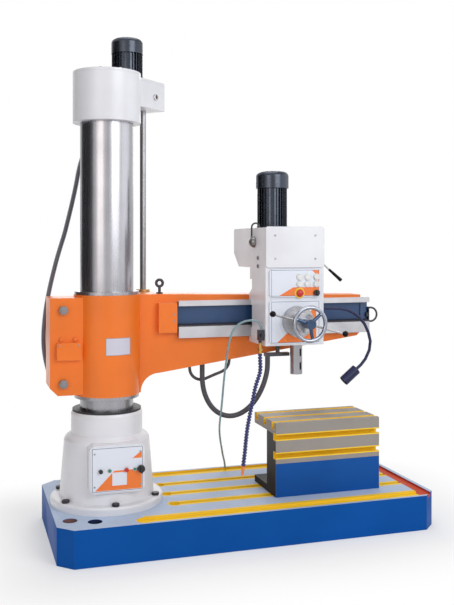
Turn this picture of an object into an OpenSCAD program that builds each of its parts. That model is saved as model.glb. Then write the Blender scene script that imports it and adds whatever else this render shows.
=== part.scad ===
// Radial arm drill: a T-slotted base carries a pedestal and a fixed inner column.
// The outer column swivels on it, the arm rises along it and the drill head slides along the arm.
// The origin is on the floor at the column axis, +X runs along the base and -Y is the operator's side.

/* [Base] */
// Distance from the column axis to the tail end of the base
base_tail = 325; // [320:5:380]
// Distance from the column axis to the front end of the base
base_reach = 1850; // [1800:10:2000]
// Width of the base
base_w = 970; // [940:10:1100]
// Height of the base
base_h = 197; // [185:1:220]
// Corner chamfer of the base
base_corner = 80; // [60:5:100]
// Wall left around the hollows under the base
base_wall = 48; // [40:1:60]
// Deck left above the hollows under the base
base_deck = 78; // [72:1:90]
// Start of the hollows under the base, from the column axis
hollow_start = 380; // [340:10:420]
// Spacing of the T-slots in the base
slot_pitch = 193; // [170:1:200]
// Width of a T-slot at the surface
slot_w = 28; // [22:1:32]
// Width of a T-slot's wide part
slot_head_w = 48; // [42:1:54]
// Thickness of the lips over a T-slot's wide part
slot_lip = 26; // [20:1:30]
// Full depth of a T-slot
slot_depth = 46; // [42:1:50]
// Start of the T-slots, from the column axis
slot_start = 350; // [350:2:380]
// Radius of the round entry of a T-slot
slot_entry_r = 30; // [26:1:36]
// Width of the coolant gutter
gutter_w = 72; // [60:1:80]
// Depth of the coolant gutter
gutter_depth = 12; // [8:1:20]
// Start of the side gutters, from the column axis
gutter_start = 132; // [100:2:160]
// Rim left outside the gutter
rim_w = 23; // [18:1:30]
// Radius of the two tie-down holes near the pedestal
tie_hole_r = 38; // [30:1:42]
// Depth of the blind tie-down hole; the other one goes through
tie_hole_depth = 60; // [40:1:80]

/* [Pedestal] */
// Radius of the pedestal's foot flange
flange_r = 315; // [305:1:320]
// Thickness of the foot flange
flange_h = 44; // [36:1:50]
// Radius of the cone above the flange
cone_r = 265; // [260:1:275]
// Radius at the top of the cone
cone_top_r = 239; // [230:1:245]
// Height of the cone above the flange
cone_h = 314; // [300:1:330]
// Rim of the neck outside the seal ring
neck_rim = 7; // [5:1:12]
// Height of the shoulder between cone and neck
shoulder_h = 35; // [25:1:45]
// Height of the neck
neck_h = 121; // [100:1:140]
// Wall of the pedestal
pedestal_wall = 28; // [22:1:34]
// Number of bolts in the foot flange
bolt_count = 6; // [4:1:8]
// Radius of the bolt circle in the foot flange
bolt_circle_r = 288; // [288:1:292]
// Thread diameter of the flange bolts
bolt_d = 24; // [20:1:27]

/* [Switch box] */
// Width of the switch box on the pedestal
box_w = 302; // [280:2:320]
// Height of the switch box
box_h = 260; // [240:2:280]
// Height of the switch box above the foot flange
box_rise = 66; // [60:1:78]
// Distance from the column axis to the front of the switch box
box_face = 280; // [278:1:300]
// Sideways shift of the switch box
box_shift = 12; // [0:1:20]
// Corner chamfer of the switch box
box_corner = 22; // [15:1:30]
// Thickness of the switch plate
plate_t = 4; // [3:0.5:6]
// Radius of the pedestal's push buttons
small_button_r = 11; // [9:0.5:13]
// Radius of the main switch knob
main_knob_r = 20; // [17:0.5:23]
// Height of the main switch knob
main_knob_h = 30; // [24:1:36]

/* [Column] */
// Radius of the outer column
column_r = 150; // [148:1:152]
// Wall of the outer column
column_wall = 25; // [22:1:28]
// Height of the top of the outer column above the floor
column_top = 2400; // [2380:5:2410]
// Radial thickness of the column bearings
bearing_t = 25; // [21:1:29]
// Wall of the inner column
inner_wall = 20; // [16:1:26]
// Distance from the inner column's top up to the outer column's top
inner_short = 160; // [140:10:250]
// Height of each column bearing
bearing_h = 50; // [40:1:60]
// Width of the seal ring around the column's foot
seal_w = 43; // [35:1:46]
// Height of the seal ring
seal_h = 11; // [8:1:12]

/* [Column cap] */
// Rim of the cap outside the column
cap_rim = 41; // [36:1:48]
// Lap of the cap over the column's top
cap_lap = 70; // [60:1:80]
// Height of the cap without its lid
cap_h = 270; // [262:1:280]
// Wall of the cap
cap_wall = 9; // [8:1:14]
// Thickness of the cap's lid
lid_h = 15; // [12:1:20]
// Turn of the cap's extension from the arm's direction
cap_turn = 41.5; // [40:0.5:43]
// Depth of the cap's extension
ext_h = 168; // [150:1:180]
// Clearance between the lift gears and the cap
gear_gap = 1; // [1:0.5:4]

/* [Lift drive] */
// Distance of the lift screw from the column axis
screw_out = 342; // [330:1:356]
// Radius of the lift screw
screw_r = 18; // [16:0.5:20]
// Height of the lift screw's lower end above the floor
screw_bottom = 1120; // [1100:5:1130]
// Module of the lift gears
gear_module = 4; // [3.5:0.25:4.25]
// Teeth of the motor's pinion
pinion_teeth = 43; // [38:1:44]
// Teeth of the gear on the lift screw
gear_teeth = 34; // [30:1:38]
// Face width of the lift gears
gear_w = 34; // [28:1:40]
// Radius of the lift motor over its fins
lift_motor_r = 93; // [86:1:96]
// Height of the lift motor below its cowl
lift_motor_h = 142; // [120:2:160]
// Height of the lift motor's cowl
lift_cowl_h = 89; // [75:1:100]

/* [Arm] */
// Wall of the arm's sleeve
sleeve_wall = 36; // [33:1:40]
// Height of the sleeve's lower end above the pedestal
arm_rise = 92; // [89:1:104]
// Height of the sleeve
arm_h = 560; // [550:2:570]
// Distance of the beam's front face from the column axis
beam_front = 48; // [44:1:50]
// Distance of the beam's back face from the column axis
beam_back = 110; // [100:1:120]
// Reach of the beam from the column axis
arm_reach = 1565; // [1540:5:1580]
// Depth of the beam next to the sleeve
beam_root_h = 452; // [440:1:460]
// Depth of the beam at its end
beam_tip_h = 251; // [245:1:256]
// Fall of the beam's top towards its end
beam_fall = 25; // [20:1:28]
// Radius of the fillet between sleeve and beam
arm_fillet_r = 105; // [95:1:108]
// Reach of the clamp ears from the column axis
ear_reach = 329; // [315:1:340]
// Half width of the clamp ears across the slit
ear_half_w = 110; // [104:1:114]
// Height of the clamp ears
ear_h = 534; // [520:1:540]
// Chamfer at the foot of the clamp ears
ear_chamfer = 42; // [30:1:50]
// Width of the clamping slit
slit_w = 6; // [4:0.5:8]
// Diameter of the clamp bolts
clamp_bolt_d = 30; // [24:1:32]
// Height of the wiper rings at the ends of the sleeve
wiper_h = 18; // [16:0.5:20]
// Width of the wiper rings
wiper_w = 32; // [28:1:33]

/* [Guideways] */
// Start of the guideways from the column axis
way_start = 399; // [395:1:402]
// Reach of the guideways past the beam's end
way_over = 41; // [30:1:50]
// Depth of the guideways in front of the beam
way_depth = 42; // [40:0.5:44]
// Height of the lower guideway above the sleeve's lower end
way_rise = 304; // [302:0.5:306]
// Face height of the lower guideway
way_low_h = 65; // [60:1:67]
// Space between the two guideways
way_space = 118; // [114:1:124]
// Face height of the upper guideway
way_high_h = 32; // [30:1:36]
// Undercut of the guideways' outer edges
way_dovetail = 9; // [7:0.5:11]
// Width of the head's rack
rack_w = 28; // [24:1:30]
// Height of the rack's pitch line above the lower guideway
rack_h = 11; // [10:0.5:13]

/* [Head] */
// Distance of the head's tail side from the column axis
head_x = 836; // [826:2:846]
// Width of the head
head_w = 354; // [350:2:360]
// Depth of the head
head_d = 240; // [235:1:245]
// Distance of the head's back from the guideways' front
head_off = 15; // [13:0.5:18]
// Drop of the head below the lower guideway
head_drop = 34; // [29:1:37]
// Height of the head
head_h = 667; // [660:1:680]
// Reach of the head's rear overhang behind the column axis
overhang_back = 236; // [220:2:250]
// Space between the feed dial and the upper panel
panel_space = 49.16; // [40:0.01:60]
// Thickness of the head's front plates
front_t = 10; // [8:1:12]
// Radius of the head motor over its fins
head_motor_r = 93; // [86:1:98]
// Height of the head motor below its cowl
head_motor_h = 243; // [220:2:260]
// Radius of the head motor's cowl
head_cowl_r = 100; // [99:1:105]
// Height of the head motor's cowl
head_cowl_h = 101; // [90:1:110]

/* [Spindle and feed] */
// Distance of the spindle axis from the head's tail side
spindle_in = 244; // [242:0.5:246]
// Distance of the spindle axis in front of the head's back
spindle_set = 85; // [80:1:95]
// Radius of the quill
quill_r = 45; // [44:0.5:46]
// Length of the quill
quill_l = 420; // [410:2:424]
// Travel of the quill
quill_travel = 240; // [200:5:240]
// Radius of the spindle nose
nose_r = 36; // [34:0.5:38]
// Length of the spindle nose below the quill
nose_l = 178; // [165:1:182]
// Radius of the spindle's taper socket at its mouth
socket_r = 15.6; // [12:0.1:18]
// Depth of the spindle's taper socket
socket_depth = 118; // [90:1:125]
// Module of the feed pinion
feed_module = 2; // [1.75:0.25:2.25]
// Teeth of the feed pinion and of the traverse pinion
feed_teeth = 18; // [17:1:19]
// Module of the traverse pinion
traverse_module = 3; // [2.75:0.25:3.25]
// Radius of the feed dial
dial_r = 88; // [80:1:92]
// Depth of the feed dial
dial_h = 40; // [34:1:46]
// Radius of the feed hub's boss
boss_r = 54; // [48:1:58]
// Depth of the feed hub's boss
boss_h = 92; // [86:1:98]
// Reach of the feed levers from the hub's axis
lever_reach = 222; // [200:2:230]
// Turn of the feed levers from level
lever_turn = 15.7; // [10:0.1:20]
// Radius of the feed lever balls
ball_r = 17; // [14:0.5:20]
// Radius of the handwheel's rim
wheel_r = 91; // [84:1:96]
// Radius of the handwheel rim's own section
wheel_tube_r = 11; // [9:0.5:12]

/* [Work table] */
// Place of the work table's tail end as a share of the base's reach
table_share = 0.5; // [0.49:0.005:0.51]
// Length of the work table
table_l = 655; // [620:5:680]
// Distance of the work table's front from the column axis
table_front = 265; // [260:1:268]
// Depth of the work table
table_w = 365; // [350:1:370]
// Height of the work table
table_h = 423; // [400:1:428]
// Thickness of the work table's front wall
table_wall = 150; // [140:1:155]
// Thickness of the work table's top
table_top_t = 64; // [60:1:68]
// Thickness of the work table's foot
table_foot_t = 40; // [34:1:46]

/* [Hidden] */
$fn = 64;
// Overrun of every cut past the face that it opens
over = 1;
// Radial clearance of a shaft or slide that runs in a bore
run_fit = 0.05;
// Gap left between faces that move past each other
gap = 0.3;

// Base
base_mid_x = (base_reach - base_tail) / 2;
gutter_y = base_w / 2 - rim_w - gutter_w / 2;
end_gutter_x = base_reach - rim_w - gutter_w;
hollow_h = base_h - base_deck;
hollow_rib = base_wall;
tie_hole_shares = [[-0.76, -0.66], [-0.38, -0.77]];
slot_rows = [-1, 0, 1];

// Pedestal and column
flange_top = base_h + flange_h;
cone_top_z = flange_top + cone_h;
neck_z = cone_top_z + shoulder_h;
pedestal_top = neck_z + neck_h;
seal_r = column_r + seal_w;
neck_r = seal_r + neck_rim;
flange_round_share = 0.3;
foot_fillet = 4;
column_foot = pedestal_top + gap;
column_in_r = column_r - column_wall;
inner_r = column_in_r - bearing_t;
inner_top = column_top - inner_short;
bolt_head_h_share = 0.65;
bolt_across_share = 1.5;
bolt_shank_h = flange_h + base_wall;

// Switch box
box_z = flange_top + box_rise;
box_mid_z = box_z + box_h / 2;
box_back = cone_top_r - 2 * pedestal_wall;
box_wall = pedestal_wall / 4;
button_row_share = -0.02;
button_shares = [-0.305, 0.156];
main_knob_share = 0.42;
small_button_h = small_button_r;
button_stem_share = 0.6;
button_travel = 4;
knob_shaft_share = 0.3;

// Column cap and lift drive
cap_r = column_r + cap_rim;
cap_z = column_top - cap_lap;
lid_z = cap_z + cap_h;
ext_z = lid_z + lid_h - ext_h;
cap_floor_z = ext_z + cap_wall;
gear_distance = gear_module * (pinion_teeth + gear_teeth) / 2;
ext_half_w = gear_module * (max(pinion_teeth, gear_teeth) / 2 + 1) + gear_gap + cap_wall;
ext_reach = screw_out + gear_module * (gear_teeth / 2 + 1) + gear_gap + cap_wall;
motor_out = screw_out - gear_distance;
screw_x = screw_out * cos(cap_turn);
screw_y = screw_out * sin(cap_turn);
motor_x = motor_out * cos(cap_turn);
motor_y = motor_out * sin(cap_turn);
lift_motor_z = lid_z + lid_h;
lift_shaft_r = screw_r * 2 / 3;
gear_z = cap_floor_z + cap_wall;
fin_count = 28;
fin_t = 4;
motor_core_share = 0.86;
fin_tip_share = 0.97;
motor_flange_h = lid_h;

// Arm
sleeve_r = column_r + sleeve_wall;
wiper_r = column_r + wiper_w;
arm_z = pedestal_top + arm_rise;
arm_top = arm_z + arm_h;
beam_top = arm_top - (arm_top - arm_z) / 200;
beam_root_x = sleeve_r + arm_fillet_r;
ear_z = arm_z + (arm_h - ear_h) / 2;
clamp_share = 0.36;
clamp_x = ear_reach - (ear_reach - sleeve_r) / 2;
nut_r = screw_r * 5 / 3;
nut_flange_r = nut_r * 1.35;
nut_flange_h = nut_r / 2;
lug_r = nut_r * 1.6;
lug_h = arm_h / 5;
lug_z = beam_top - lug_h;
way_end = arm_reach + way_over;
way_front = beam_front + way_depth;
way_low_z = arm_z + way_rise;
way_high_z = way_low_z + way_low_h + way_space;
way_mid_x = (way_start + way_end) / 2;
end_block_x = beam_root_x - arm_fillet_r / 12;
end_block_w = way_start - end_block_x - way_dovetail;
end_block_shares = [0.15, 0.94];
way_zone_h = way_high_z + way_high_h - way_low_z;
eye_x = beam_root_x + arm_fillet_r / 7;
eye_r = 19;
eye_wire_r = 8;
eye_stem_h = 42;
bow_r = 42;
bow_wire_r = 6;
bow_z = way_high_z - way_zone_h * 0.36;
junction_w = 134;
junction_h = 96;
junction_t = 26;
junction_share = 0.37;
junction_x = -(ear_reach + ear_half_w) / 2 - junction_t / 3;
junction_z = arm_z + arm_h * junction_share;

// Head
head_end = head_x + head_w;
head_mid_x = head_x + head_w / 2;
head_z = way_low_z - head_drop;
head_top = head_z + head_h;
head_back = way_front + head_off;
head_front = head_back + head_d;
casting_front = head_front - front_t;
spindle_x = head_x + spindle_in;
spindle_y = head_back + spindle_set;
feed_r = feed_module * feed_teeth / 2;
rack_flat = quill_r - 2 * feed_module;
hub_x = spindle_x - rack_flat - feed_r;
traverse_r = traverse_module * feed_teeth / 2;
rack_foot_z = way_low_z + way_low_h;
rack_pitch_z = rack_foot_z + rack_h;
hub_z = rack_pitch_z + traverse_r;
pad_h_share = 0.8;
lip_t = way_low_z - head_z - gap;
overhang_shares = [0.36, 0.59];
upper_panel_z = hub_z + dial_r + panel_space;
overhang_z = upper_panel_z + head_w * 0.46;
ledge_h = 68;
ledge_y = 70;
cover_z = overhang_z;
cover_h = head_top - cover_z;
panel_side = head_w * 0.06;
panel_gap = head_w * 0.04;
lower_panel_z = head_z + head_w * 0.03;
head_motor_x = head_mid_x - head_w * 0.01;
head_motor_y = (overhang_back - head_back) / 6;
dome_y = -head_back - head_w * 0.115;
dome_z = head_top - head_w * 0.23;
dome_r = 33;
button_r = 15;
button_h = 10;
bezel_r = button_r * 1.3;
bezel_h = front_t / 2;
button_x_shares = [0.571, 0.709, 0.859];
button_z_shares = [0.147, 0.49, 0.76];
stop_r = 22;
knob_r = 17;
knob_h = 24;

// Spindle, quill and feed
quill_z = head_z - wiper_h / 3;
quill_top = quill_z + quill_l;
quill_bore_top = quill_top + wiper_h;
shaft_r = nose_r * 0.6;
drive_top = head_top - head_w * 0.12;
nose_z = quill_z - nose_l;
drift_w = nose_r * 0.36;
drift_h = nose_l * 0.24;
drift_shares = [0.27, 0.72];
drift_turn = 22.5;
feed_rack_w = quill_r * 0.58;
feed_rack_shares = [0.27, 0.95];
pinion_bore_r = feed_r + 2 * feed_module;
feed_shaft_r = feed_r * 0.78;
wheel_shaft_r = feed_r * 0.44;
dial_face = head_front + dial_h;
boss_face = dial_face + boss_h;
lever_root = dial_face + boss_h * 0.62;
lever_lean = boss_h * 0.95;
lever_r = ball_r * 0.42;
wheel_face = boss_face + gap;
wheel_hub_r = wheel_r * 0.3;
wheel_hub_h = wheel_r * 0.9;
wheel_plane = wheel_face + wheel_hub_h * 0.72;
spoke_turns = [40, 160, 280];
spoke_r = wheel_tube_r * 0.75;
lever_pivot_z = cover_z + head_w * 0.186;
lever_pivot_y = head_front - (head_front - head_back) * 0.6;
lever_drop = 40;
speed_lever_l = 224;
lever_shaft_r = 8;
lever_shaft_l = 40;
grip_share = 0.42;

// Work table
table_x = base_reach * table_share;
table_top_z = base_h + table_h;
table_slot_w = slot_w * 0.86;
table_slot_depth = table_top_t * 0.62;
table_slot_head_w = slot_head_w * 0.86;
table_slot_lip = table_slot_depth * 0.5;
table_slot_shares = [0.13, 0.5, 0.88];
table_wall_slot_shares = [0.56, 0.81];
foot_bolt_shares = [0.12, 0.88];

// Places on the object that the cords meet
function beam_foot(x) =
  beam_top - beam_root_h
  + (x - beam_root_x) / (arm_reach - beam_fall - beam_root_x) * (beam_root_h - beam_tip_h - beam_fall);
function under_beam(along_share, across_share) =
  [arm_reach * along_share, beam_back * across_share, beam_foot(arm_reach * along_share) - gland_out];
gland_out = 9;
gland_h = 60;
gland_r_share = 1.4;
cap_gland = [-0.492 * cap_r, 0.775 * cap_r, cap_z];
ear_gland = [-0.851 * ear_reach, ear_half_w, ear_z + 0.045 * ear_h];
head_gland = under_beam(0.3706, 0.5455);
arm_glands = [under_beam(0.3272, 0.8727), under_beam(0.4856, 0.8727)];
bracket_drop = 88;
bracket_at = [head_x + 0.28 * head_w, -0.952 * head_back, head_z - bracket_drop];
valve_out = 16;
valve_set = 40;
valve_rise = 90;
valve_h = 57;
valve_w = 34;
fitting_out = 21;
fitting_drop = 42;
valve_top = [head_x - valve_out, -head_front + valve_set, head_z + valve_rise];
valve_foot = [head_x - fitting_out, -head_front + valve_set, head_z - fitting_drop];
nipple_r = 9;
nipple_h = 8;
nipple_at = [0.4519 * base_reach, gutter_y, base_h + nipple_h];
lead_in = 30;
lead_ends = [
  [head_x - valve_out, dome_y, dome_z + dome_r],
  [head_x + lead_in, dome_y - dome_r * 0.19, head_top]
];

// Shape of each cord from the object's outlet to the far end, before it is held at its ends
column_conduit_r = 14;
column_conduit_ribs = 120;
column_conduit_shape = [
  [-94, 148, 2330], [-94, 148, 2300], [-94, 148, 2268], [-97, 151, 2232], [-105, 157, 2192],
  [-116, 165, 2150], [-128, 175, 2105], [-138, 185, 2055], [-147, 193, 2000], [-160, 198, 1935],
  [-176, 200, 1863], [-195, 200, 1784], [-215, 200, 1705], [-237, 200, 1633], [-258, 200, 1561],
  [-278, 200, 1483], [-296, 200, 1406], [-310, 202, 1334], [-321, 207, 1262], [-328, 216, 1190],
  [-331, 229, 1120], [-329, 243, 1055], [-323, 253, 1003], [-315, 258, 958], [-308, 254, 927.5],
  [-300.5, 242.2, 899], [-293, 223.4, 874.6], [-287, 199, 855.8], [-282.5, 170.5, 844],
  [-280, 140, 840], [-280, 125, 840], [-280, 110, 840]
];
head_conduit_r = 15;
head_conduit_shape = [
  [580, 60, 940], [580, 60, 905], [580, 60, 870], [581, 60, 834], [586, 60, 794], [597, 60, 752],
  [614, 58, 712], [638, 55, 675], [669, 49, 645], [706, 41, 626], [746, 29, 620], [784, 14, 628],
  [818, -5, 648], [847, -25, 677], [872, -45, 713], [894, -64, 757], [912, -80, 806],
  [925, -91, 855], [933, -98, 902], [935, -100, 944], [935, -100, 965], [935, -100, 985]
];
arm_conduit_r = 9;
arm_conduit_shape = [
  [512, 96, 930], [512, 96, 919], [512, 96, 908], [515.6, 96, 885.4], [525.9, 96, 865.1],
  [542.1, 96, 848.9], [562.4, 96.5, 838.6], [585, 97, 835], [610, 98, 839.4], [644, 99, 851.7],
  [678, 99, 864.1], [712, 98, 876.4], [731.4, 97.5, 887.1], [746.8, 97, 903.1], [756.6, 96.5, 923],
  [760, 96, 945], [760, 96, 955], [760, 96, 965]
];
supply_hose_r = 6;
supply_hose_shape = [
  [820, -305, 1163], [820, -305, 1172], [817, -303, 1188.8], [809, -298, 1203],
  [797, -290.3, 1212.7], [783, -281, 1216], [760, -266.5, 1214], [734, -251, 1206],
  [708, -237.5, 1190], [688, -227, 1166], [674, -218, 1134], [666, -206, 1094], [662, -189, 1046],
  [662, -160, 981], [664, -130, 925], [667, -103, 876], [671, -70, 810], [674, -45, 752],
  [676, -24, 700], [677, -4, 650], [679, 22, 598], [688, 62, 544], [709, 125, 485], [738, 203, 428],
  [767, 277, 375], [791, 337, 327], [809, 377, 290], [822, 402, 262], [831, 418, 238],
  [835, 424.5, 220], [836, 426, 210], [836, 426, 205]
];
coolant_hose_r = 11;
coolant_hose_ribs = 48;
coolant_hose_shape = [
  [815, -305, 1031], [815, -305, 1015], [815, -305, 999], [816, -305, 975], [816.5, -305, 950],
  [813.5, -305, 922], [805, -305, 895], [795, -305, 868], [786, -305, 838], [779, -305, 808],
  [773, -305, 778], [767, -305, 750], [760, -305, 720], [754, -305, 690], [748, -305, 660],
  [742, -305, 630], [737, -305, 598], [733, -305, 565], [729, -305, 530], [726, -305, 495],
  [722, -305, 462], [718, -305, 432], [715, -305, 405]
];
motor_lead_r = 5;
motor_lead_shape = [
  [820, -145.7, 1691.6], [820, -145.7, 1706], [820, -146.2, 1726], [820, -146.8, 1744],
  [823.1, -147.5, 1756.5], [831.5, -148.4, 1764.9], [843, -149.3, 1768], [854.5, -150.3, 1764.9],
  [862.9, -151.2, 1756.5], [866, -152, 1746], [866, -152, 1740]
];
nozzle_l = 53;
fitting_r = 9;
column_conduit_route = held(column_conduit_shape, cap_gland, ear_gland);
head_conduit_route = held(head_conduit_shape, head_gland, bracket_at);
arm_conduit_route = held(arm_conduit_shape, arm_glands[0], arm_glands[1]);
supply_hose_route = held(supply_hose_shape, valve_top, nipple_at);
coolant_hose_route = [for (p = coolant_hose_shape) p + valve_foot - coolant_hose_shape[0]];
motor_lead_route = held(motor_lead_shape, lead_ends[0], lead_ends[1]);

// Work lamp on its bent neck
lamp_y = head_back + head_d * 0.604;
lamp_z = head_z + head_w * 0.571;
lamp_reach = 340;
lamp_drop = 368;
lamp_neck_r = 9;
lamp_neck_shares = [
  [0, 0], [0.09, 0], [0.18, 0.01], [0.26, 0.014], [0.41, 0.02], [0.56, 0.045], [0.68, 0.095],
  [0.8, 0.177], [0.89, 0.28], [0.96, 0.41], [1, 0.557], [0.98, 0.7], [0.905, 0.84], [0.82, 0.93],
  [0.727, 1]
];
lamp_neck_route = [
  for (s = lamp_neck_shares) [head_end + s.x * lamp_reach, -lamp_y, lamp_z - s.y * lamp_drop]
];
lamp_head_r = 30;
lamp_head_l = 104;

// Bracket under the head that takes the head's conduit
bracket_r = 12;
bracket_h = 20;
bracket_l = 150;
bracket_w = 36;
bracket_post_share = 0.56;

// Sweeps and gear outlines
function unit(v) = v / norm(v);
function last(list) = list[len(list) - 1];
// A cord's shape moved so that its first and last three points follow the places that hold it
function held(shape, start, end) =
  let (n = len(shape) - 1)
  [
    for (i = [0 : n])
      let (
        t = min(max((i - 2) / (n - 4), 0), 1),
        share = t * t * (3 - 2 * t)
      )
      shape[i] + (1 - share) * (start - shape[0]) + share * (end - shape[n])
  ];
function run_length(p, i = 1, sum = 0) =
  i == len(p) ? sum : run_length(p, i + 1, sum + norm(p[i] - p[i - 1]));
function spline_at(p, u) =
  let (
    i = min(floor(u), len(p) - 2),
    t = u - i,
    a = p[max(i - 1, 0)],
    b = p[i],
    c = p[i + 1],
    d = p[min(i + 2, len(p) - 1)]
  )
  b + t * ((c - a) + t * ((2 * a - 5 * b + 4 * c - d) + t * (3 * b - a - 3 * c + d))) / 2;
function resample(p, n) = [for (k = [0 : n]) spline_at(p, k * (len(p) - 1) / n)];
function tangents(p) = [
  for (i = [0 : len(p) - 1]) unit(p[min(i + 1, len(p) - 1)] - p[max(i - 1, 0)])
];
function side_of(t) = abs(t.z) < 0.9 ? unit(cross(t, [0, 0, 1])) : unit(cross(t, [0, 1, 0]));
function carried(n, t) = unit(n - (n * t) * t);
function normals(t, i = 0, found = []) =
  i == len(t) ? found
  : normals(t, i + 1, concat(found, [i == 0 ? side_of(t[0]) : carried(last(found), t[i])]));
function rings(p, radii, sides) =
  let (t = tangents(p), n = normals(t))
  [
    for (i = [0 : len(p) - 1], k = [0 : sides - 1])
      p[i] + radii[i] * (cos(360 * k / sides) * n[i] + sin(360 * k / sides) * cross(t[i], n[i]))
  ];
function wall_faces(count, sides, start, flip) = [
  for (i = [0 : count - 2], k = [0 : sides - 1], half = [0, 1])
    let (
      a = start + i * sides + k,
      b = start + i * sides + (k + 1) % sides,
      face = half == 0 ? [a, b, b + sides] : [a, b + sides, a + sides]
    )
    flip ? [face[2], face[1], face[0]] : face
];
function cap_faces(sides, start, flip) = [
  for (k = [1 : sides - 2])
    flip ? [start + k + 1, start + k, start] : [start, start + k, start + k + 1]
];
function ring_faces(sides, outer, inner, flip) = [
  for (k = [0 : sides - 1], half = [0, 1])
    let (
      n = (k + 1) % sides,
      face = half == 0 ? [outer + k, inner + k, inner + n] : [outer + k, inner + n, outer + n]
    )
    flip ? [face[2], face[1], face[0]] : face
];

// Plain cord along its route
module cord(route, r, sides) {
  count = len(route);
  polyhedron(
    rings(route, [for (p = route) r], sides),
    concat(
      wall_faces(count, sides, 0, true),
      cap_faces(sides, 0, false),
      cap_faces(sides, (count - 1) * sides, true)
    )
  );
}

// Ribbed hose with a bore; each rib is two rings and the ends stay plain
module ribbed(route, r, ribs, groove_share, bore_share, sides) {
  steps = 2 * ribs;
  path = resample(route, steps);
  inner = resample(route, ribs / 2);
  radii = [for (k = [0 : steps]) k == 0 || k == steps || k % 2 == 1 ? r : r * groove_share];
  outer_points = rings(path, radii, sides);
  inner_points = rings(inner, [for (p = inner) r * bore_share], sides);
  first_in = len(outer_points);
  last_out = steps * sides;
  last_in = first_in + (len(inner) - 1) * sides;
  polyhedron(
    concat(outer_points, inner_points),
    concat(
      wall_faces(steps + 1, sides, 0, true),
      wall_faces(len(inner), sides, first_in, false),
      ring_faces(sides, 0, first_in, true),
      ring_faces(sides, last_out, last_in, false)
    )
  );
}

function involute_turn(r, base_r) = sqrt(pow(r / base_r, 2) - 1) * 180 / PI - acos(base_r / r);
function tooth_half_turn(m, teeth, r, slack) =
  let (
    pitch_r = m * teeth / 2,
    base_r = pitch_r * cos(20),
    at_r = max(r, base_r)
  )
  90 / teeth - slack / pitch_r * 90 / PI + involute_turn(pitch_r, base_r) - involute_turn(at_r, base_r);
flank_shares = [0, 0.4, 0.7, 1];

// Spur gear outline with involute flanks
module gear_outline(m, teeth, slack, turn) {
  pitch_r = m * teeth / 2;
  root_r = pitch_r - 1.25 * m;
  tip_r = pitch_r + m;
  flank = [for (s = flank_shares) root_r + s * (tip_r - root_r)];
  polygon([
    for (k = [0 : teeth - 1], side = [-1, 1], j = [0 : len(flank) - 1])
      let (
        r = side < 0 ? flank[j] : flank[len(flank) - 1 - j],
        a = turn + 360 * k / teeth + side * tooth_half_turn(m, teeth, r, slack)
      )
      [r * cos(a), r * sin(a)]
  ]);
}

// Rack outline along +X with its pitch line on the X axis and a tooth centred on the origin
module rack_outline(m, from, to, back, slack) {
  pitch = PI * m;
  first = ceil(from / pitch + 0.5);
  final = floor(to / pitch - 0.5);
  tip_half = pitch / 4 - m * tan(20) - slack / 2;
  root_half = pitch / 4 + 1.25 * m * tan(20) - slack / 2;
  polygon(concat(
    [[from, -back], [from, -1.25 * m]],
    [
      for (
        k = [first : final],
        c = [[-root_half, -1.25 * m], [-tip_half, m], [tip_half, m], [root_half, -1.25 * m]]
      )
        [k * pitch + c.x, c.y]
    ],
    [[to, -1.25 * m], [to, -back]]
  ));
}

// Hexagon prism of a given size across its flats
module hexagon(across, h) {
  cylinder(r = across / sqrt(3), h = h, $fn = 6);
}

// Rod between two points
module rod(from, to, r, r_end) {
  way = to - from;
  translate(from)
    rotate([0, acos(way.z / norm(way)), atan2(way.y, way.x)])
      cylinder(r1 = r, r2 = r_end, h = norm(way));
}

// Round bar along -Y from a point
module bar(x, y, z, r, l) {
  translate([x, y, z]) rotate([90, 0, 0]) cylinder(r = r, h = l);
}

// Outline with chamfered corners
module chamfered(x0, y0, x1, y1, c) {
  polygon([
    [x0 + c, y0], [x1 - c, y0], [x1, y0 + c], [x1, y1 - c],
    [x1 - c, y1], [x0 + c, y1], [x0, y1 - c], [x0, y0 + c]
  ]);
}

// T-slot cut along +X with its mouth facing +Z at z = 0
module t_slot(l, w, head_w, lip, depth) {
  translate([0, -w / 2, -depth]) cube([l, w, depth + over]);
  translate([0, -head_w / 2, -depth]) cube([l, head_w, depth - lip]);
}

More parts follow.
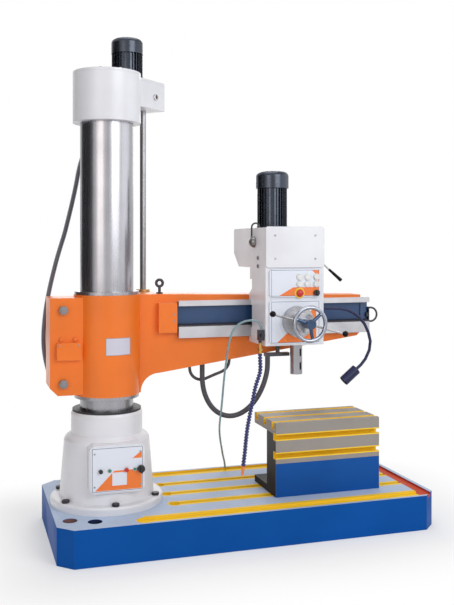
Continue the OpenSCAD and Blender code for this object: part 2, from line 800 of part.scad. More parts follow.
module base_plate() {
  color("royalblue")
  difference() {
    linear_extrude(base_h)
      chamfered(-base_tail, -base_w / 2, base_reach, base_w / 2, base_corner);
    for (row = slot_rows) translate([0, row * slot_pitch, base_h]) {
      translate([slot_start, 0, 0])
        t_slot(end_gutter_x - slot_start + over, slot_w, slot_head_w, slot_lip, slot_depth);
      translate([slot_start, 0, -slot_depth]) cylinder(r = slot_entry_r, h = slot_depth + over);
    }
    for (side = [-1, 1]) translate([gutter_start, side * gutter_y, base_h - gutter_depth]) {
      translate([0, -gutter_w / 2, 0])
        cube([end_gutter_x - gutter_start + over, gutter_w, gutter_depth + over]);
      cylinder(r = gutter_w * 0.62, h = gutter_depth + over);
    }
    translate([end_gutter_x, -gutter_y - gutter_w / 2, base_h - gutter_depth])
      cube([gutter_w, 2 * gutter_y + gutter_w, gutter_depth + over]);
    translate([
      tie_hole_shares[0].x * base_tail, tie_hole_shares[0].y * base_w / 2, base_h - tie_hole_depth
    ])
      cylinder(r = tie_hole_r, h = tie_hole_depth + over);
    translate([tie_hole_shares[1].x * base_tail, tie_hole_shares[1].y * base_w / 2, -over])
      cylinder(r = tie_hole_r, h = base_h + 2 * over);
    for (half = [0, 1])
      let (l = (base_reach - base_wall - hollow_start - hollow_rib) / 2)
      translate([hollow_start + half * (l + hollow_rib), -base_w / 2 + base_wall, -over])
        cube([l, base_w - 2 * base_wall, hollow_h + over]);
    for (k = [0 : bolt_count - 1]) rotate(360 * (k + 0.5) / bolt_count)
      translate([bolt_circle_r, 0, base_h - base_wall])
        cylinder(d = bolt_d + 2 * run_fit, h = base_wall + over);
  }
  color("silver") translate([nipple_at.x, nipple_at.y, base_h - gutter_depth])
    cylinder(r = nipple_r, h = nipple_at.z - base_h + gutter_depth);
}

module pedestal() {
  round = flange_h * flange_round_share;
  color("whitesmoke")
  difference() {
    rotate_extrude($fn = 96) difference() {
      union() {
        polygon([
          [inner_r + run_fit, base_h], [flange_r, base_h], [flange_r, flange_top - round],
          [flange_r - round, flange_top], [cone_r + foot_fillet, flange_top],
          [cone_r, flange_top + foot_fillet],
          [cone_top_r, cone_top_z], [cone_top_r - shoulder_h / 3, cone_top_z + shoulder_h / 2],
          [neck_r, neck_z], [neck_r, pedestal_top - round], [neck_r - round / 2, pedestal_top],
          [inner_r + run_fit, pedestal_top]
        ]);
        translate([flange_r - round, flange_top - round]) circle(r = round);
      }
      polygon([
        [inner_r + pedestal_wall, base_h - over], [cone_r - pedestal_wall, base_h - over],
        [cone_r - pedestal_wall, flange_top],
        [cone_top_r - pedestal_wall, cone_top_z], [neck_r - pedestal_wall, neck_z],
        [neck_r - pedestal_wall, pedestal_top - pedestal_wall],
        [inner_r + pedestal_wall, pedestal_top - pedestal_wall]
      ]);
    }
    for (k = [0 : bolt_count - 1]) rotate(360 * (k + 0.5) / bolt_count)
      translate([bolt_circle_r, 0, base_h - over])
        cylinder(d = bolt_d + 2 * run_fit, h = flange_h + 2 * over);
    translate([0, -box_back, 0]) rotate([90, 0, 0]) linear_extrude(box_face) box_outline(-run_fit);
  }
}

module pedestal_bolts() {
  color("dimgray")
  for (k = [0 : bolt_count - 1]) rotate(360 * (k + 0.5) / bolt_count)
    translate([bolt_circle_r, 0, 0]) {
      translate([0, 0, flange_top]) rotate(30)
        hexagon(bolt_d * bolt_across_share, bolt_d * bolt_head_h_share);
      translate([0, 0, base_h - base_wall]) cylinder(d = bolt_d, h = bolt_shank_h);
    }
}

module inner_column() {
  color("silver")
  translate([0, 0, base_h]) difference() {
    cylinder(r = inner_r, h = inner_top - base_h);
    translate([0, 0, -over]) cylinder(r = inner_r - inner_wall, h = inner_top - base_h + 2 * over);
  }
}

module column_bearings() {
  color("gainsboro")
  for (z = [pedestal_top, inner_top - bearing_h]) translate([0, 0, z]) difference() {
    cylinder(r = column_in_r - run_fit, h = bearing_h);
    translate([0, 0, -over]) cylinder(r = inner_r + run_fit, h = bearing_h + 2 * over);
  }
}

module column_seal() {
  color("dimgray")
  translate([0, 0, pedestal_top]) difference() {
    cylinder(r = seal_r, h = seal_h);
    translate([0, 0, -over]) cylinder(r = column_r + gap, h = seal_h + 2 * over);
  }
}

module work_table() {
  color("slategray")
  difference() {
    translate([table_x, -table_front, base_h]) cube([table_l, table_w, table_h]);
    translate([table_x - over, -table_front + table_wall, base_h + table_foot_t])
      cube([table_l + 2 * over, table_w - table_wall + over, table_h - table_foot_t - table_top_t]);
    for (s = table_slot_shares)
      translate([table_x - over, -table_front + s * table_w, table_top_z])
        t_slot(table_l + 2 * over, table_slot_w, table_slot_head_w, table_slot_lip, table_slot_depth);
    for (s = table_wall_slot_shares)
      translate([table_x - over, -table_front, base_h + s * table_h]) rotate([90, 0, 0])
        t_slot(table_l + 2 * over, table_slot_w, table_slot_head_w, table_slot_lip, table_slot_depth);
    for (s = foot_bolt_shares) translate([table_x + s * table_l, 0, base_h - over])
      cylinder(d = bolt_d + 2 * run_fit, h = table_foot_t + 2 * over);
  }
}

module table_bolts() {
  head_h = slot_depth - slot_lip - gap;
  color("dimgray")
  for (s = foot_bolt_shares) translate([table_x + s * table_l, 0, base_h]) {
    translate([-bolt_d, -slot_head_w / 2 + gap, -slot_lip - head_h])
      cube([2 * bolt_d, slot_head_w - 2 * gap, head_h]);
    translate([0, 0, -slot_lip - head_h])
      cylinder(d = bolt_d, h = slot_lip + head_h + table_foot_t + 2 * bolt_d);
    translate([0, 0, table_foot_t]) hexagon(bolt_d * bolt_across_share, bolt_d);
  }
}

module box_outline(inset) {
  chamfered(
    box_shift - box_w / 2 + inset, box_z + inset, box_shift + box_w / 2 - inset, box_z + box_h - inset,
    box_corner - inset / 2
  );
}

module switch_box() {
  face = box_face - plate_t;
  color("whitesmoke")
  difference() {
    translate([0, -box_back, 0]) rotate([90, 0, 0]) linear_extrude(face - box_back) box_outline(0);
    translate([0, -box_back - box_wall, 0]) rotate([90, 0, 0])
      linear_extrude(face - box_back) box_outline(2 * box_wall);
  }
}

// Place of a control on the switch plate
function panel_x(share) = box_shift + share * box_w;
function panel_z(share) = box_mid_z + share * box_h;

module switch_plate() {
  color("aliceblue")
  difference() {
    translate([0, -box_face + plate_t, 0]) rotate([90, 0, 0]) linear_extrude(plate_t) box_outline(box_wall);
    for (s = button_shares)
      bar(panel_x(s), -box_face + plate_t + over, panel_z(button_row_share),
        small_button_r * button_stem_share + gap, plate_t + 2 * over);
    bar(panel_x(main_knob_share), -box_face + plate_t + over, panel_z(button_row_share),
      main_knob_r * knob_shaft_share + run_fit, plate_t + 2 * over);
  }
}

// Push button on the switch plate: a cap that travels and its stem
module small_button(share, tint) {
  stem_r = small_button_r * button_stem_share;
  color(tint) {
    bar(
      panel_x(share), -box_face - button_travel - gap,
      panel_z(button_row_share), small_button_r, small_button_h
    );
    bar(panel_x(share), -box_face + plate_t + button_travel, panel_z(button_row_share),
      stem_r, plate_t + 2 * button_travel + gap);
  }
}

module power_on_button() {
  small_button(button_shares[0], "black");
}

module power_off_button() {
  small_button(button_shares[1], "firebrick");
}

module main_switch() {
  x = panel_x(main_knob_share);
  z = panel_z(button_row_share);
  color("black") {
    bar(x, -box_face - gap, z, main_knob_r, main_knob_h * 0.6);
    bar(x, -box_face + plate_t, z, main_knob_r * knob_shaft_share, plate_t + gap);
    translate([x - main_knob_r * 0.25, -box_face - main_knob_h, z - main_knob_r])
      cube([main_knob_r * 0.5, main_knob_h * 0.45, 2 * main_knob_r]);
  }
}

module outer_column() {
  color("silver")
  difference() {
    translate([0, 0, column_foot]) cylinder(r = column_r, h = column_top - column_foot, $fn = 128);
    translate([0, 0, column_foot - over])
      cylinder(r = column_in_r, h = column_top - column_foot + 2 * over);
  }
}

// Plan of the cap's extension, from the column axis outwards
module ext_outline(inset) {
  rotate(cap_turn) translate([0, -ext_half_w + inset])
    square([ext_reach - inset, 2 * (ext_half_w - inset)]);
}

module top_cap() {
  seat_z = column_top - cap_z;
  color("whitesmoke")
  difference() {
    union() {
      translate([0, 0, cap_z]) cylinder(r = cap_r, h = cap_h);
      translate([0, 0, ext_z]) linear_extrude(lid_z - ext_z) ext_outline(0);
    }
    translate([0, 0, cap_z - over]) cylinder(r = column_r + run_fit, h = seat_z + over);
    translate([0, 0, cap_floor_z]) cylinder(r = cap_r - cap_wall, h = lid_z - cap_floor_z + over);
    translate([0, 0, cap_floor_z]) linear_extrude(lid_z - cap_floor_z + over) ext_outline(cap_wall);
    translate([screw_x, screw_y, ext_z - over]) cylinder(r = screw_r + run_fit, h = cap_wall + 2 * over);
  }
}

module cap_lid() {
  color("whitesmoke")
  difference() {
    translate([0, 0, lid_z]) linear_extrude(lid_h) union() {
      circle(r = cap_r, $fn = 96);
      ext_outline(0);
    }
    translate([motor_x, motor_y, lid_z - over]) cylinder(r = lift_shaft_r + run_fit, h = lid_h + 2 * over);
  }
}

// Plan of a motor's core with its fins
module fin_outline(r) {
  core_r = r * motor_core_share;
  polygon([
    for (k = [0 : fin_count - 1], c = [[-1, core_r], [-1, r], [1, r], [1, core_r]])
      let (a = 360 * k / fin_count + c[0] * asin(fin_t / 2 / c[1]))
      [c[1] * cos(a), c[1] * sin(a)]
  ]);
}

// Finned motor body standing on a flange
module motor_body(r, h) {
  cylinder(r = r, h = motor_flange_h);
  translate([0, 0, motor_flange_h]) linear_extrude(h - motor_flange_h) fin_outline(r * fin_tip_share);
}

// Fan cowl with a rounded crown
module cowl(r, h) {
  crown = h * 0.3;
  rotate_extrude() union() {
    polygon([[0, 0], [r, 0], [r, h - crown], [r - crown, h], [0, h]]);
    translate([r - crown, h - crown]) circle(r = crown);
  }
}

module lift_motor() {
  color("black") translate([motor_x, motor_y, lift_motor_z]) difference() {
    motor_body(lift_motor_r, lift_motor_h);
    translate([0, 0, -over]) cylinder(r = lift_shaft_r + run_fit, h = lift_motor_h / 2 + over);
  }
}

module lift_cowl() {
  color("black") translate([motor_x, motor_y, lift_motor_z + lift_motor_h]) cowl(lift_motor_r, lift_cowl_h);
}

module lift_pinion() {
  color("silver") translate([motor_x, motor_y, 0]) {
    translate([0, 0, gear_z]) linear_extrude(gear_w) rotate(cap_turn)
      gear_outline(gear_module, pinion_teeth, gap, 0);
    translate([0, 0, gear_z]) cylinder(r = lift_shaft_r, h = lift_motor_z + lift_motor_h / 3 - gear_z);
  }
}

module lead_screw() {
  color("gray") translate([screw_x, screw_y, screw_bottom]) {
    cylinder(r = screw_r, h = cap_floor_z - screw_bottom + gap);
    translate([0, 0, cap_floor_z + gap - screw_bottom]) cylinder(r = screw_r * 1.5, h = cap_wall - gap);
    translate([0, 0, gear_z - screw_bottom]) cylinder(r = lift_shaft_r, h = gear_w + cap_wall);
  }
}

module lift_gear() {
  half_tooth = 180 / gear_teeth;
  color("silver") translate([screw_x, screw_y, gear_z]) linear_extrude(gear_w) difference() {
    rotate(cap_turn + 180 + half_tooth) gear_outline(gear_module, gear_teeth, gap, 0);
    circle(r = lift_shaft_r);
  }
}

// Side view of the beam in X and Z
module beam_outline() {
  tip_z = beam_top - beam_fall;
  tip_round = beam_fall;
  difference() {
    polygon([
      [0, arm_z], [beam_root_x, arm_z], [beam_root_x, beam_top - beam_root_h],
      [arm_reach - tip_round, tip_z - beam_tip_h], [arm_reach, tip_z - beam_tip_h + tip_round],
      [arm_reach, tip_z], [beam_root_x, beam_top], [0, beam_top]
    ]);
    translate([beam_root_x, arm_z - (arm_fillet_r - (beam_top - beam_root_h - arm_z))])
      circle(r = arm_fillet_r, $fn = 96);
  }
}

module ear_outline() {
  polygon([
    [-ear_reach, ear_z + ear_chamfer], [-ear_reach + ear_chamfer, ear_z], [0, ear_z],
    [0, ear_z + ear_h], [-ear_reach, ear_z + ear_h]
  ]);
}

module arm_casting() {
  block_low = way_low_z + end_block_shares[0] * way_zone_h;
  block_high = way_low_z + end_block_shares[1] * way_zone_h;
  color("darkorange")
  difference() {
    union() {
      translate([0, 0, arm_z]) cylinder(r = sleeve_r, h = arm_h, $fn = 128);
      translate([0, beam_back, 0]) rotate([90, 0, 0]) linear_extrude(beam_back + beam_front) beam_outline();
      difference() {
        translate([0, ear_half_w, 0]) rotate([90, 0, 0]) linear_extrude(2 * ear_half_w) ear_outline();
        for (z = [arm_z - arm_h, arm_top]) translate([0, 0, z]) cylinder(r = wiper_r + gap, h = arm_h);
      }
      translate([end_block_x, -way_front, block_low])
        cube([end_block_w, way_front, block_high - block_low]);
      translate([screw_x, screw_y, lug_z]) cylinder(r = lug_r, h = lug_h);
      translate([screw_x - lug_r, 0, lug_z]) cube([2 * lug_r, screw_y, lug_h]);
      translate(head_conduit_route[0]) cylinder(r = head_conduit_r * gland_r_share, h = gland_h);
      for (end = [arm_conduit_route[0], last(arm_conduit_route)])
        translate(end) cylinder(r = arm_conduit_r * gland_r_share, h = gland_h);
    }
    translate([0, 0, arm_z - over]) cylinder(r = column_r + run_fit, h = arm_h + 2 * over, $fn = 128);
    translate([-ear_reach - over, -slit_w / 2, ear_z - arm_h])
      cube([ear_reach + over, slit_w, 3 * arm_h]);
    for (s = [-clamp_share, clamp_share])
      bar(
        -clamp_x, ear_half_w + over, arm_z + arm_h * (0.5 + s),
        clamp_bolt_d / 2 + run_fit, 2 * (ear_half_w + over)
      );
    translate([screw_x, screw_y, lug_z - over]) cylinder(r = nut_r + run_fit, h = lug_h + 2 * over);
    translate([eye_x, 0, beam_top - eye_stem_h]) cylinder(r = eye_wire_r + run_fit, h = eye_stem_h + over);
  }
}

module lift_nut() {
  color("goldenrod")
  translate([screw_x, screw_y, 0]) difference() {
    union() {
      translate([0, 0, lug_z]) cylinder(r = nut_r, h = lug_h);
      translate([0, 0, lug_z + lug_h]) cylinder(r = nut_flange_r, h = nut_flange_h);
    }
    translate([0, 0, lug_z - over]) cylinder(r = screw_r + run_fit, h = lug_h + nut_flange_h + 2 * over);
  }
}

module arm_wipers() {
  color("silver")
  for (z = [arm_z - wiper_h, arm_top]) translate([0, 0, z]) difference() {
    cylinder(r = wiper_r, h = wiper_h, $fn = 96);
    translate([0, 0, -over]) cylinder(r = column_r + run_fit, h = wiper_h + 2 * over, $fn = 96);
  }
}

// Cross-section of the two dovetail guideways in Y and Z
module way_sections() {
  polygon([
    [-way_front, way_low_z], [-way_front, way_low_z + way_low_h],
    [-beam_front, way_low_z + way_low_h], [-beam_front, way_low_z + way_dovetail]
  ]);
  polygon([
    [-way_front, way_high_z], [-way_front, way_high_z + way_high_h],
    [-beam_front, way_high_z + way_high_h - way_dovetail], [-beam_front, way_high_z]
  ]);
}

// Extrusion along +X of an outline drawn in Y and Z
module along_x(x, l) {
  translate([x, 0, 0]) rotate([90, 0, 90]) linear_extrude(l) children();
}

module guideways() {
  color("lightgray") along_x(way_start, way_end - way_start) way_sections();
}

module traverse_rack() {
  color("midnightblue")
  translate([hub_x, -beam_front, rack_pitch_z]) rotate([90, 0, 0])
    linear_extrude(rack_w) rack_outline(
      traverse_module, way_start - hub_x, way_end - hub_x, rack_pitch_z - rack_foot_z, gap
    );
}

module clamp_bolts() {
  color("silver")
  for (s = [-clamp_share, clamp_share]) {
    z = arm_z + arm_h * (0.5 + s);
    bar(-clamp_x, ear_half_w + clamp_bolt_d, z, clamp_bolt_d / 2, 2 * (ear_half_w + clamp_bolt_d));
    for (y = [-ear_half_w, ear_half_w + clamp_bolt_d * 0.8])
      translate([-clamp_x, y, z]) rotate([90, 0, 0])
        hexagon(clamp_bolt_d * bolt_across_share, clamp_bolt_d * 0.8);
  }
}

module junction_box() {
  nut_across = junction_t * 0.7;
  color("darkorange") {
    translate([0, -ear_half_w, 0]) rotate([90, 0, 0]) linear_extrude(junction_t)
      chamfered(
        junction_x - junction_w / 2, junction_z,
        junction_x + junction_w / 2, junction_z + junction_h, junction_t / 5
      );
    for (s = [-0.3, 0.26])
      translate([junction_x + s * junction_w, -ear_half_w, junction_z + junction_h + nut_across])
        rotate([90, 0, 0])
        hexagon(nut_across, junction_t / 2);
  }
}

module eyebolt() {
  ring_z = beam_top + eye_stem_h;
  color("black") {
    translate([eye_x, 0, ring_z + eye_r]) rotate([90, 0, 0])
      rotate_extrude() translate([eye_r, 0]) circle(r = eye_wire_r, $fn = 24);
    translate([eye_x, 0, beam_top]) cylinder(r = eye_r, h = eye_wire_r);
    translate([eye_x, 0, beam_top - eye_stem_h]) cylinder(r = eye_wire_r, h = 2 * eye_stem_h);
  }
}

module end_bow() {
  y = -beam_front - rack_w / 2;
  straight = bow_r / 2;
  plate_w = bow_wire_r * 2;
  color("gray") {
    translate([way_end, y - rack_w / 2, bow_z - bow_r - bow_wire_r])
      cube([bow_wire_r, rack_w, 2 * (bow_r + bow_wire_r)]);
    for (side = [-1, 1])
      rod(
        [way_end, y, bow_z + side * bow_r],
        [way_end + straight, y, bow_z + side * bow_r], bow_wire_r, bow_wire_r
      );
    translate([way_end + straight, y, bow_z]) rotate([90, 0, 0]) rotate(-90)
      rotate_extrude(angle = 180) translate([bow_r, 0]) circle(r = bow_wire_r, $fn = 24);
    translate([arm_reach, -beam_front, bow_z - plate_w]) cube([way_end - arm_reach, plate_w, 2 * plate_w]);
    translate([way_end - plate_w, y - plate_w, bow_z - plate_w])
      cube([plate_w + bow_wire_r / 2, -beam_front + plate_w - y + plate_w, 2 * plate_w]);
  }
}

// Side view of the head in Y and Z
module head_section() {
  rear_z = overhang_z + overhang_shares[0] * cover_h;
  rear_y = overhang_shares[1] * overhang_back;
  lip_y = way_front - (way_front - beam_front) * 0.9;
  slope = way_dovetail / (way_front - beam_front);
  lip_rise = slope * (way_front - lip_y);
  hook_z = way_high_z + way_high_h + gap;
  low = way_low_z - gap;
  polygon([
    [-casting_front, head_z], [-lip_y, head_z], [-lip_y, low + lip_rise], [-way_front - gap, low],
    [-way_front - gap, way_low_z + pad_h_share * way_low_h],
    [-head_back, way_low_z + pad_h_share * way_low_h],
    [-head_back, way_high_z], [-way_front - gap, way_high_z], [-way_front - gap, hook_z],
    [-lip_y, hook_z - lip_rise], [-lip_y, hook_z + way_high_h], [-head_back, hook_z + 2 * way_high_h],
    [-head_back, overhang_z - ledge_h], [-ledge_y, overhang_z - ledge_h], [-ledge_y, overhang_z],
    [rear_y, overhang_z], [overhang_back, rear_z],
    [overhang_back, head_top - front_t], [overhang_back - front_t, head_top], [-casting_front, head_top]
  ]);
}

// Place of a control on the head's upper panel
function control_x(k) = head_x + button_x_shares[k] * head_w;
function control_z(k) = upper_panel_z + button_z_shares[k] * (overhang_z - upper_panel_z - panel_gap);

module head_casting() {
  deep = button_h + 3 * button_travel;
  color("whitesmoke")
  difference() {
    union() {
      along_x(head_x, head_w) head_section();
      conduit_bracket();
    }
    translate([spindle_x, -spindle_y, head_z - over])
      cylinder(r = quill_r + run_fit, h = quill_bore_top - head_z + over);
    translate([spindle_x, -spindle_y, quill_bore_top - over])
      cylinder(r = shaft_r + gap, h = drive_top - quill_bore_top + wiper_h);
    bar(hub_x, -spindle_y + feed_rack_w / 2 + gap, hub_z, pinion_bore_r, feed_rack_w + 2 * gap);
    bar(hub_x, -spindle_y, hub_z, feed_shaft_r + run_fit, casting_front - spindle_y + over);
    bar(hub_x, -head_back + over, hub_z, wheel_shaft_r + run_fit, casting_front - head_back + 2 * over);
    for (i = [0 : 2], j = [1, 2])
      bar(
        control_x(i), -casting_front + deep, control_z(j),
        button_r * button_stem_share + gap, deep + over
      );
    bar(control_x(0), -casting_front + deep, control_z(0), stop_r * button_stem_share + gap, deep + over);
    bar(
      control_x(2), -casting_front + knob_h, control_z(0),
      knob_r * knob_shaft_share + run_fit, knob_h + over
    );
    rod(
      [head_end - lever_shaft_l - gap, -lever_pivot_y, lever_pivot_z],
      [head_end + over, -lever_pivot_y, lever_pivot_z],
      lever_shaft_r + run_fit, lever_shaft_r + run_fit
    );
  }
}

// Bar under the head on a post with a flared top
module conduit_bracket() {
  post_x = bracket_at.x + bracket_post_share * (bracket_l - bracket_w);
  bar_top = bracket_at.z + bracket_h;
  translate([bracket_at.x - bracket_w / 2, bracket_at.y - bracket_w / 2, bracket_at.z])
    cube([bracket_l, bracket_w, bracket_h]);
  translate([post_x, bracket_at.y, bracket_at.z]) cylinder(r = bracket_r, h = head_z - bracket_at.z + over);
  translate([post_x, bracket_at.y, (bar_top + head_z) / 2])
    cylinder(r1 = bracket_r, r2 = bracket_w / 2, h = (head_z - bar_top) / 2);
}

module front_cover() {
  color("white")
  translate([0, -casting_front, 0]) rotate([90, 0, 0]) linear_extrude(front_t)
    chamfered(head_x, cover_z + panel_gap / 4, head_end, head_top + front_t / 2, front_t);
}

module head_panels() {
  panel_x0 = head_x + panel_side;
  panel_x1 = head_end - panel_side;
  lower_top = upper_panel_z - panel_gap;
  color("white")
  difference() {
    translate([0, -casting_front, 0]) rotate([90, 0, 0]) {
      linear_extrude(front_t) {
        chamfered(panel_x0, upper_panel_z, panel_x1, overhang_z - panel_gap / 4, panel_gap);
        chamfered(panel_x0, lower_panel_z, panel_x1, lower_top, panel_gap);
      }
      for (i = [0 : 2], j = [1, 2])
        translate([control_x(i), control_z(j), 0]) cylinder(r = bezel_r, h = front_t + bezel_h);
      translate([control_x(0), control_z(0), 0]) cylinder(r = stop_r * 1.35, h = front_t + bezel_h / 2);
    }
    for (i = [0 : 2], j = [1, 2]) {
      bar(
        control_x(i), -casting_front + over, control_z(j),
        button_r * button_stem_share + gap, front_t + 2 * over
      );
      bar(control_x(i), -casting_front - front_t / 2, control_z(j), button_r + gap, front_t + bezel_h);
    }
    bar(
      control_x(0), -casting_front + over, control_z(0),
      stop_r * button_stem_share + gap, front_t + bezel_h + 2 * over
    );
    bar(
      control_x(2), -casting_front + over, control_z(0),
      knob_r * knob_shaft_share + run_fit, front_t + 2 * over
    );
    bar(hub_x, -casting_front + over, hub_z, feed_shaft_r + gap, front_t + 2 * over);
  }
}

module head_motor() {
  color("black") translate([head_motor_x, head_motor_y, head_top]) motor_body(head_motor_r, head_motor_h);
}

module head_cowl() {
  color("black") translate([head_motor_x, head_motor_y, head_top + head_motor_h])
    cowl(head_cowl_r, head_cowl_h);
}

// Round cable entry on the tail side of the head
module cable_dome() {
  end = motor_lead_route[0];
  color("silver") {
    translate([head_x, dome_y, dome_z]) rotate([0, -90, 0]) rotate_extrude() intersection() {
      circle(r = dome_r);
      square(dome_r);
    }
    rod([end.x, end.y, dome_z + dome_r * 0.3], end, motor_lead_r * 1.8, motor_lead_r * 1.4);
  }
}

module motor_lead() {
  color("black") cord(motor_lead_route, motor_lead_r, 8);
}

module coolant_valve() {
  top = supply_hose_route[0];
  foot = coolant_hose_route[0];
  color("goldenrod") {
    translate([top.x - valve_w / 2, top.y - valve_w / 2, top.z - valve_h])
      cube([head_x - top.x + valve_w / 2, valve_w, valve_h]);
    translate([foot.x, foot.y, foot.z]) cylinder(r = fitting_r, h = top.z - valve_h - foot.z);
    translate([foot.x, foot.y, foot.z + 2 * fitting_r]) hexagon(3 * fitting_r, fitting_r);
    bar(top.x, top.y - valve_w / 2, top.z - valve_h / 2, fitting_r, 2 * fitting_r);
  }
}

module lamp_neck() {
  color("darkslateblue") cord(lamp_neck_route, lamp_neck_r, 10);
}

module lamp_head() {
  end = last(lamp_neck_route);
  before = lamp_neck_route[len(lamp_neck_route) - 2];
  way = unit(end - before);
  rim = end + way * lamp_head_l;
  color("darkslateblue") difference() {
    rod(end, rim, lamp_head_r, lamp_head_r);
    rod(end + way * lamp_head_l * 0.45, rim + way * over, lamp_head_r * 0.5, lamp_head_r * 0.9);
  }
}

// Push button on the head: a cap in its bezel and the stem behind it
module head_button(i, j, tint) {
  color(tint) {
    bar(control_x(i), -head_front + front_t / 2 - button_travel - gap, control_z(j), button_r, button_h);
    bar(control_x(i), -casting_front + 2 * button_travel, control_z(j),
      button_r * button_stem_share, front_t / 2 + 3 * button_travel + gap);
  }
}

module arm_up_button() {
  head_button(0, 2, "white");
}

module arm_down_button() {
  head_button(0, 1, "white");
}

module clamp_button() {
  head_button(1, 2, "white");
}

module release_button() {
  head_button(1, 1, "white");
}

module spindle_button() {
  head_button(2, 2, "white");
}

module jog_button() {
  head_button(2, 1, "white");
}

module emergency_stop() {
  face = head_front + bezel_h / 2 + button_travel + gap;
  stem_r = stop_r * button_stem_share;
  color("red") {
    translate([control_x(0), -face, control_z(0)]) rotate([90, 0, 0]) rotate_extrude() intersection() {
      translate([0, -stop_r * 0.6]) circle(r = stop_r * 1.166, $fn = 96);
      square([stop_r, stop_r]);
    }
    bar(
      control_x(0), -casting_front + 2 * button_travel, control_z(0),
      stem_r, face - casting_front + 2 * button_travel + over
    );
  }
}

module mode_knob() {
  x = control_x(2);
  z = control_z(0);
  color("black") {
    bar(x, -head_front - gap, z, knob_r, knob_h * 0.6);
    bar(
      x, -casting_front + knob_h * 0.8, z, knob_r * knob_shaft_share,
      front_t + knob_h * 0.8 + gap + over
    );
    translate([x - knob_r * 0.22, -head_front - knob_h, z - knob_r])
      cube([knob_r * 0.44, knob_h * 0.5, 2 * knob_r]);
  }
}

module quill() {
  low = quill_z + feed_rack_shares[0] * quill_l;
  high = quill_z + feed_rack_shares[1] * quill_l;
  root = rack_flat - 1.25 * feed_module;
  color("silver")
  difference() {
    union() {
      difference() {
        translate([spindle_x, -spindle_y, quill_z]) cylinder(r = quill_r, h = quill_l);
        translate([spindle_x - quill_r - over, -spindle_y - feed_rack_w / 2, low])
          cube([quill_r - root + over, feed_rack_w, high - low]);
      }
      translate([spindle_x - rack_flat, -spindle_y + feed_rack_w / 2, hub_z]) rotate([90, 0, 0]) rotate(90)
        linear_extrude(feed_rack_w)
          rack_outline(feed_module, low - hub_z, high - hub_z, rack_flat - shaft_r - quill_r / 8, gap);
    }
    translate([spindle_x, -spindle_y, quill_z - over])
      cylinder(r = shaft_r + run_fit, h = quill_l + 2 * over);
  }
}

module spindle() {
  color("silver")
  translate([spindle_x, -spindle_y, 0]) difference() {
    union() {
      translate([0, 0, nose_z]) cylinder(r = nose_r, h = nose_l - gap);
      translate([0, 0, nose_z]) cylinder(r = shaft_r, h = drive_top - nose_z);
    }
    translate([0, 0, nose_z - over])
      cylinder(r1 = socket_r + over / 20, r2 = socket_r * 0.8, h = socket_depth + over);
    for (s = drift_shares) translate([0, 0, nose_z + s * nose_l]) rotate(drift_turn)
      translate([-drift_w / 2, -nose_r - over, -drift_h / 2]) cube([drift_w, 2 * (nose_r + over), drift_h]);
  }
}

module feed_hub() {
  color("gainsboro")
  difference() {
    union() {
      bar(hub_x, -head_front - gap, hub_z, dial_r, dial_h - gap);
      bar(hub_x, -dial_face, hub_z, boss_r, boss_h);
      bar(
        hub_x, -spindle_y + feed_rack_w / 2, hub_z, feed_shaft_r,
        head_front - spindle_y + dial_h + feed_rack_w / 2
      );
      translate([hub_x, -spindle_y + feed_rack_w / 2, hub_z]) rotate([90, 0, 0])
        linear_extrude(feed_rack_w) gear_outline(feed_module, feed_teeth, gap, 180 / feed_teeth);
    }
    bar(
      hub_x, -spindle_y + feed_rack_w / 2 + over, hub_z,
      wheel_shaft_r + run_fit, boss_face - spindle_y + feed_rack_w
    );
    for (side = [0, 180]) lever_rod(side, lever_r + run_fit);
  }
}

// Place along a feed lever, as a share of its reach
function lever_point(side, share) = [
  hub_x - share * lever_reach * cos(lever_turn + side),
  -lever_root - share * lever_lean,
  hub_z + share * lever_reach * sin(lever_turn + side)
];

module lever_rod(side, r) {
  rod(lever_point(side, 0.12), lever_point(side, 0.97), r, r);
}

module feed_levers() {
  for (side = [0, 180]) {
    color("silver") lever_rod(side, lever_r);
    color("black") translate(lever_point(side, 1)) sphere(r = ball_r);
  }
}

module handwheel() {
  pinion_front = beam_front + rack_w;
  color("lightgray") {
    translate([hub_x, -wheel_plane, hub_z]) rotate([90, 0, 0])
      rotate_extrude() translate([wheel_r, 0]) circle(r = wheel_tube_r, $fn = 32);
    bar(hub_x, -wheel_face, hub_z, wheel_hub_r, wheel_hub_h);
    for (a = spoke_turns)
      rod([hub_x, -wheel_plane, hub_z], [hub_x + wheel_r * cos(a), -wheel_plane, hub_z + wheel_r * sin(a)],
        spoke_r * 1.4, spoke_r);
    bar(hub_x, -beam_front - gap, hub_z, wheel_shaft_r, wheel_face + wheel_hub_h / 2 - beam_front);
    translate([hub_x, -beam_front - gap, hub_z]) rotate([90, 0, 0])
      linear_extrude(pinion_front - beam_front - gap)
        gear_outline(traverse_module, feed_teeth, gap, 270 + 180 / feed_teeth);
  }
}

// Shift lever on the far side of the head, on a shaft along X
module speed_lever() {
  root = [head_end + gap, -lever_pivot_y, lever_pivot_z];
  tip = root + speed_lever_l * [cos(lever_drop), 0, -sin(lever_drop)];
  start = root + (1 - grip_share) * (tip - root);
  color("black") {
    rod(root - [lever_shaft_l, 0, 0], root + [lever_r, 0, 0], lever_shaft_r, lever_shaft_r);
    rod(root, root + [3 * lever_r, 0, 0], 3 * lever_r, 2 * lever_r);
    rod(root + [lever_r, 0, 0], start, lever_r * 0.8, lever_r * 0.8);
    rod(start - lever_r * unit(tip - root), tip, lever_r, lever_r * 1.5);
  }
}

module column_conduit() {
  color("slategray") ribbed(column_conduit_route, column_conduit_r, column_conduit_ribs, 0.84, 0.62, 8);
}

module head_conduit() {
  color("dimgray") cord(head_conduit_route, head_conduit_r, 10);
}

module arm_conduit() {
  color("dimgray") cord(arm_conduit_route, arm_conduit_r, 8);
}

module supply_hose() {
  color("lightsteelblue") cord(supply_hose_route, supply_hose_r, 8);
}

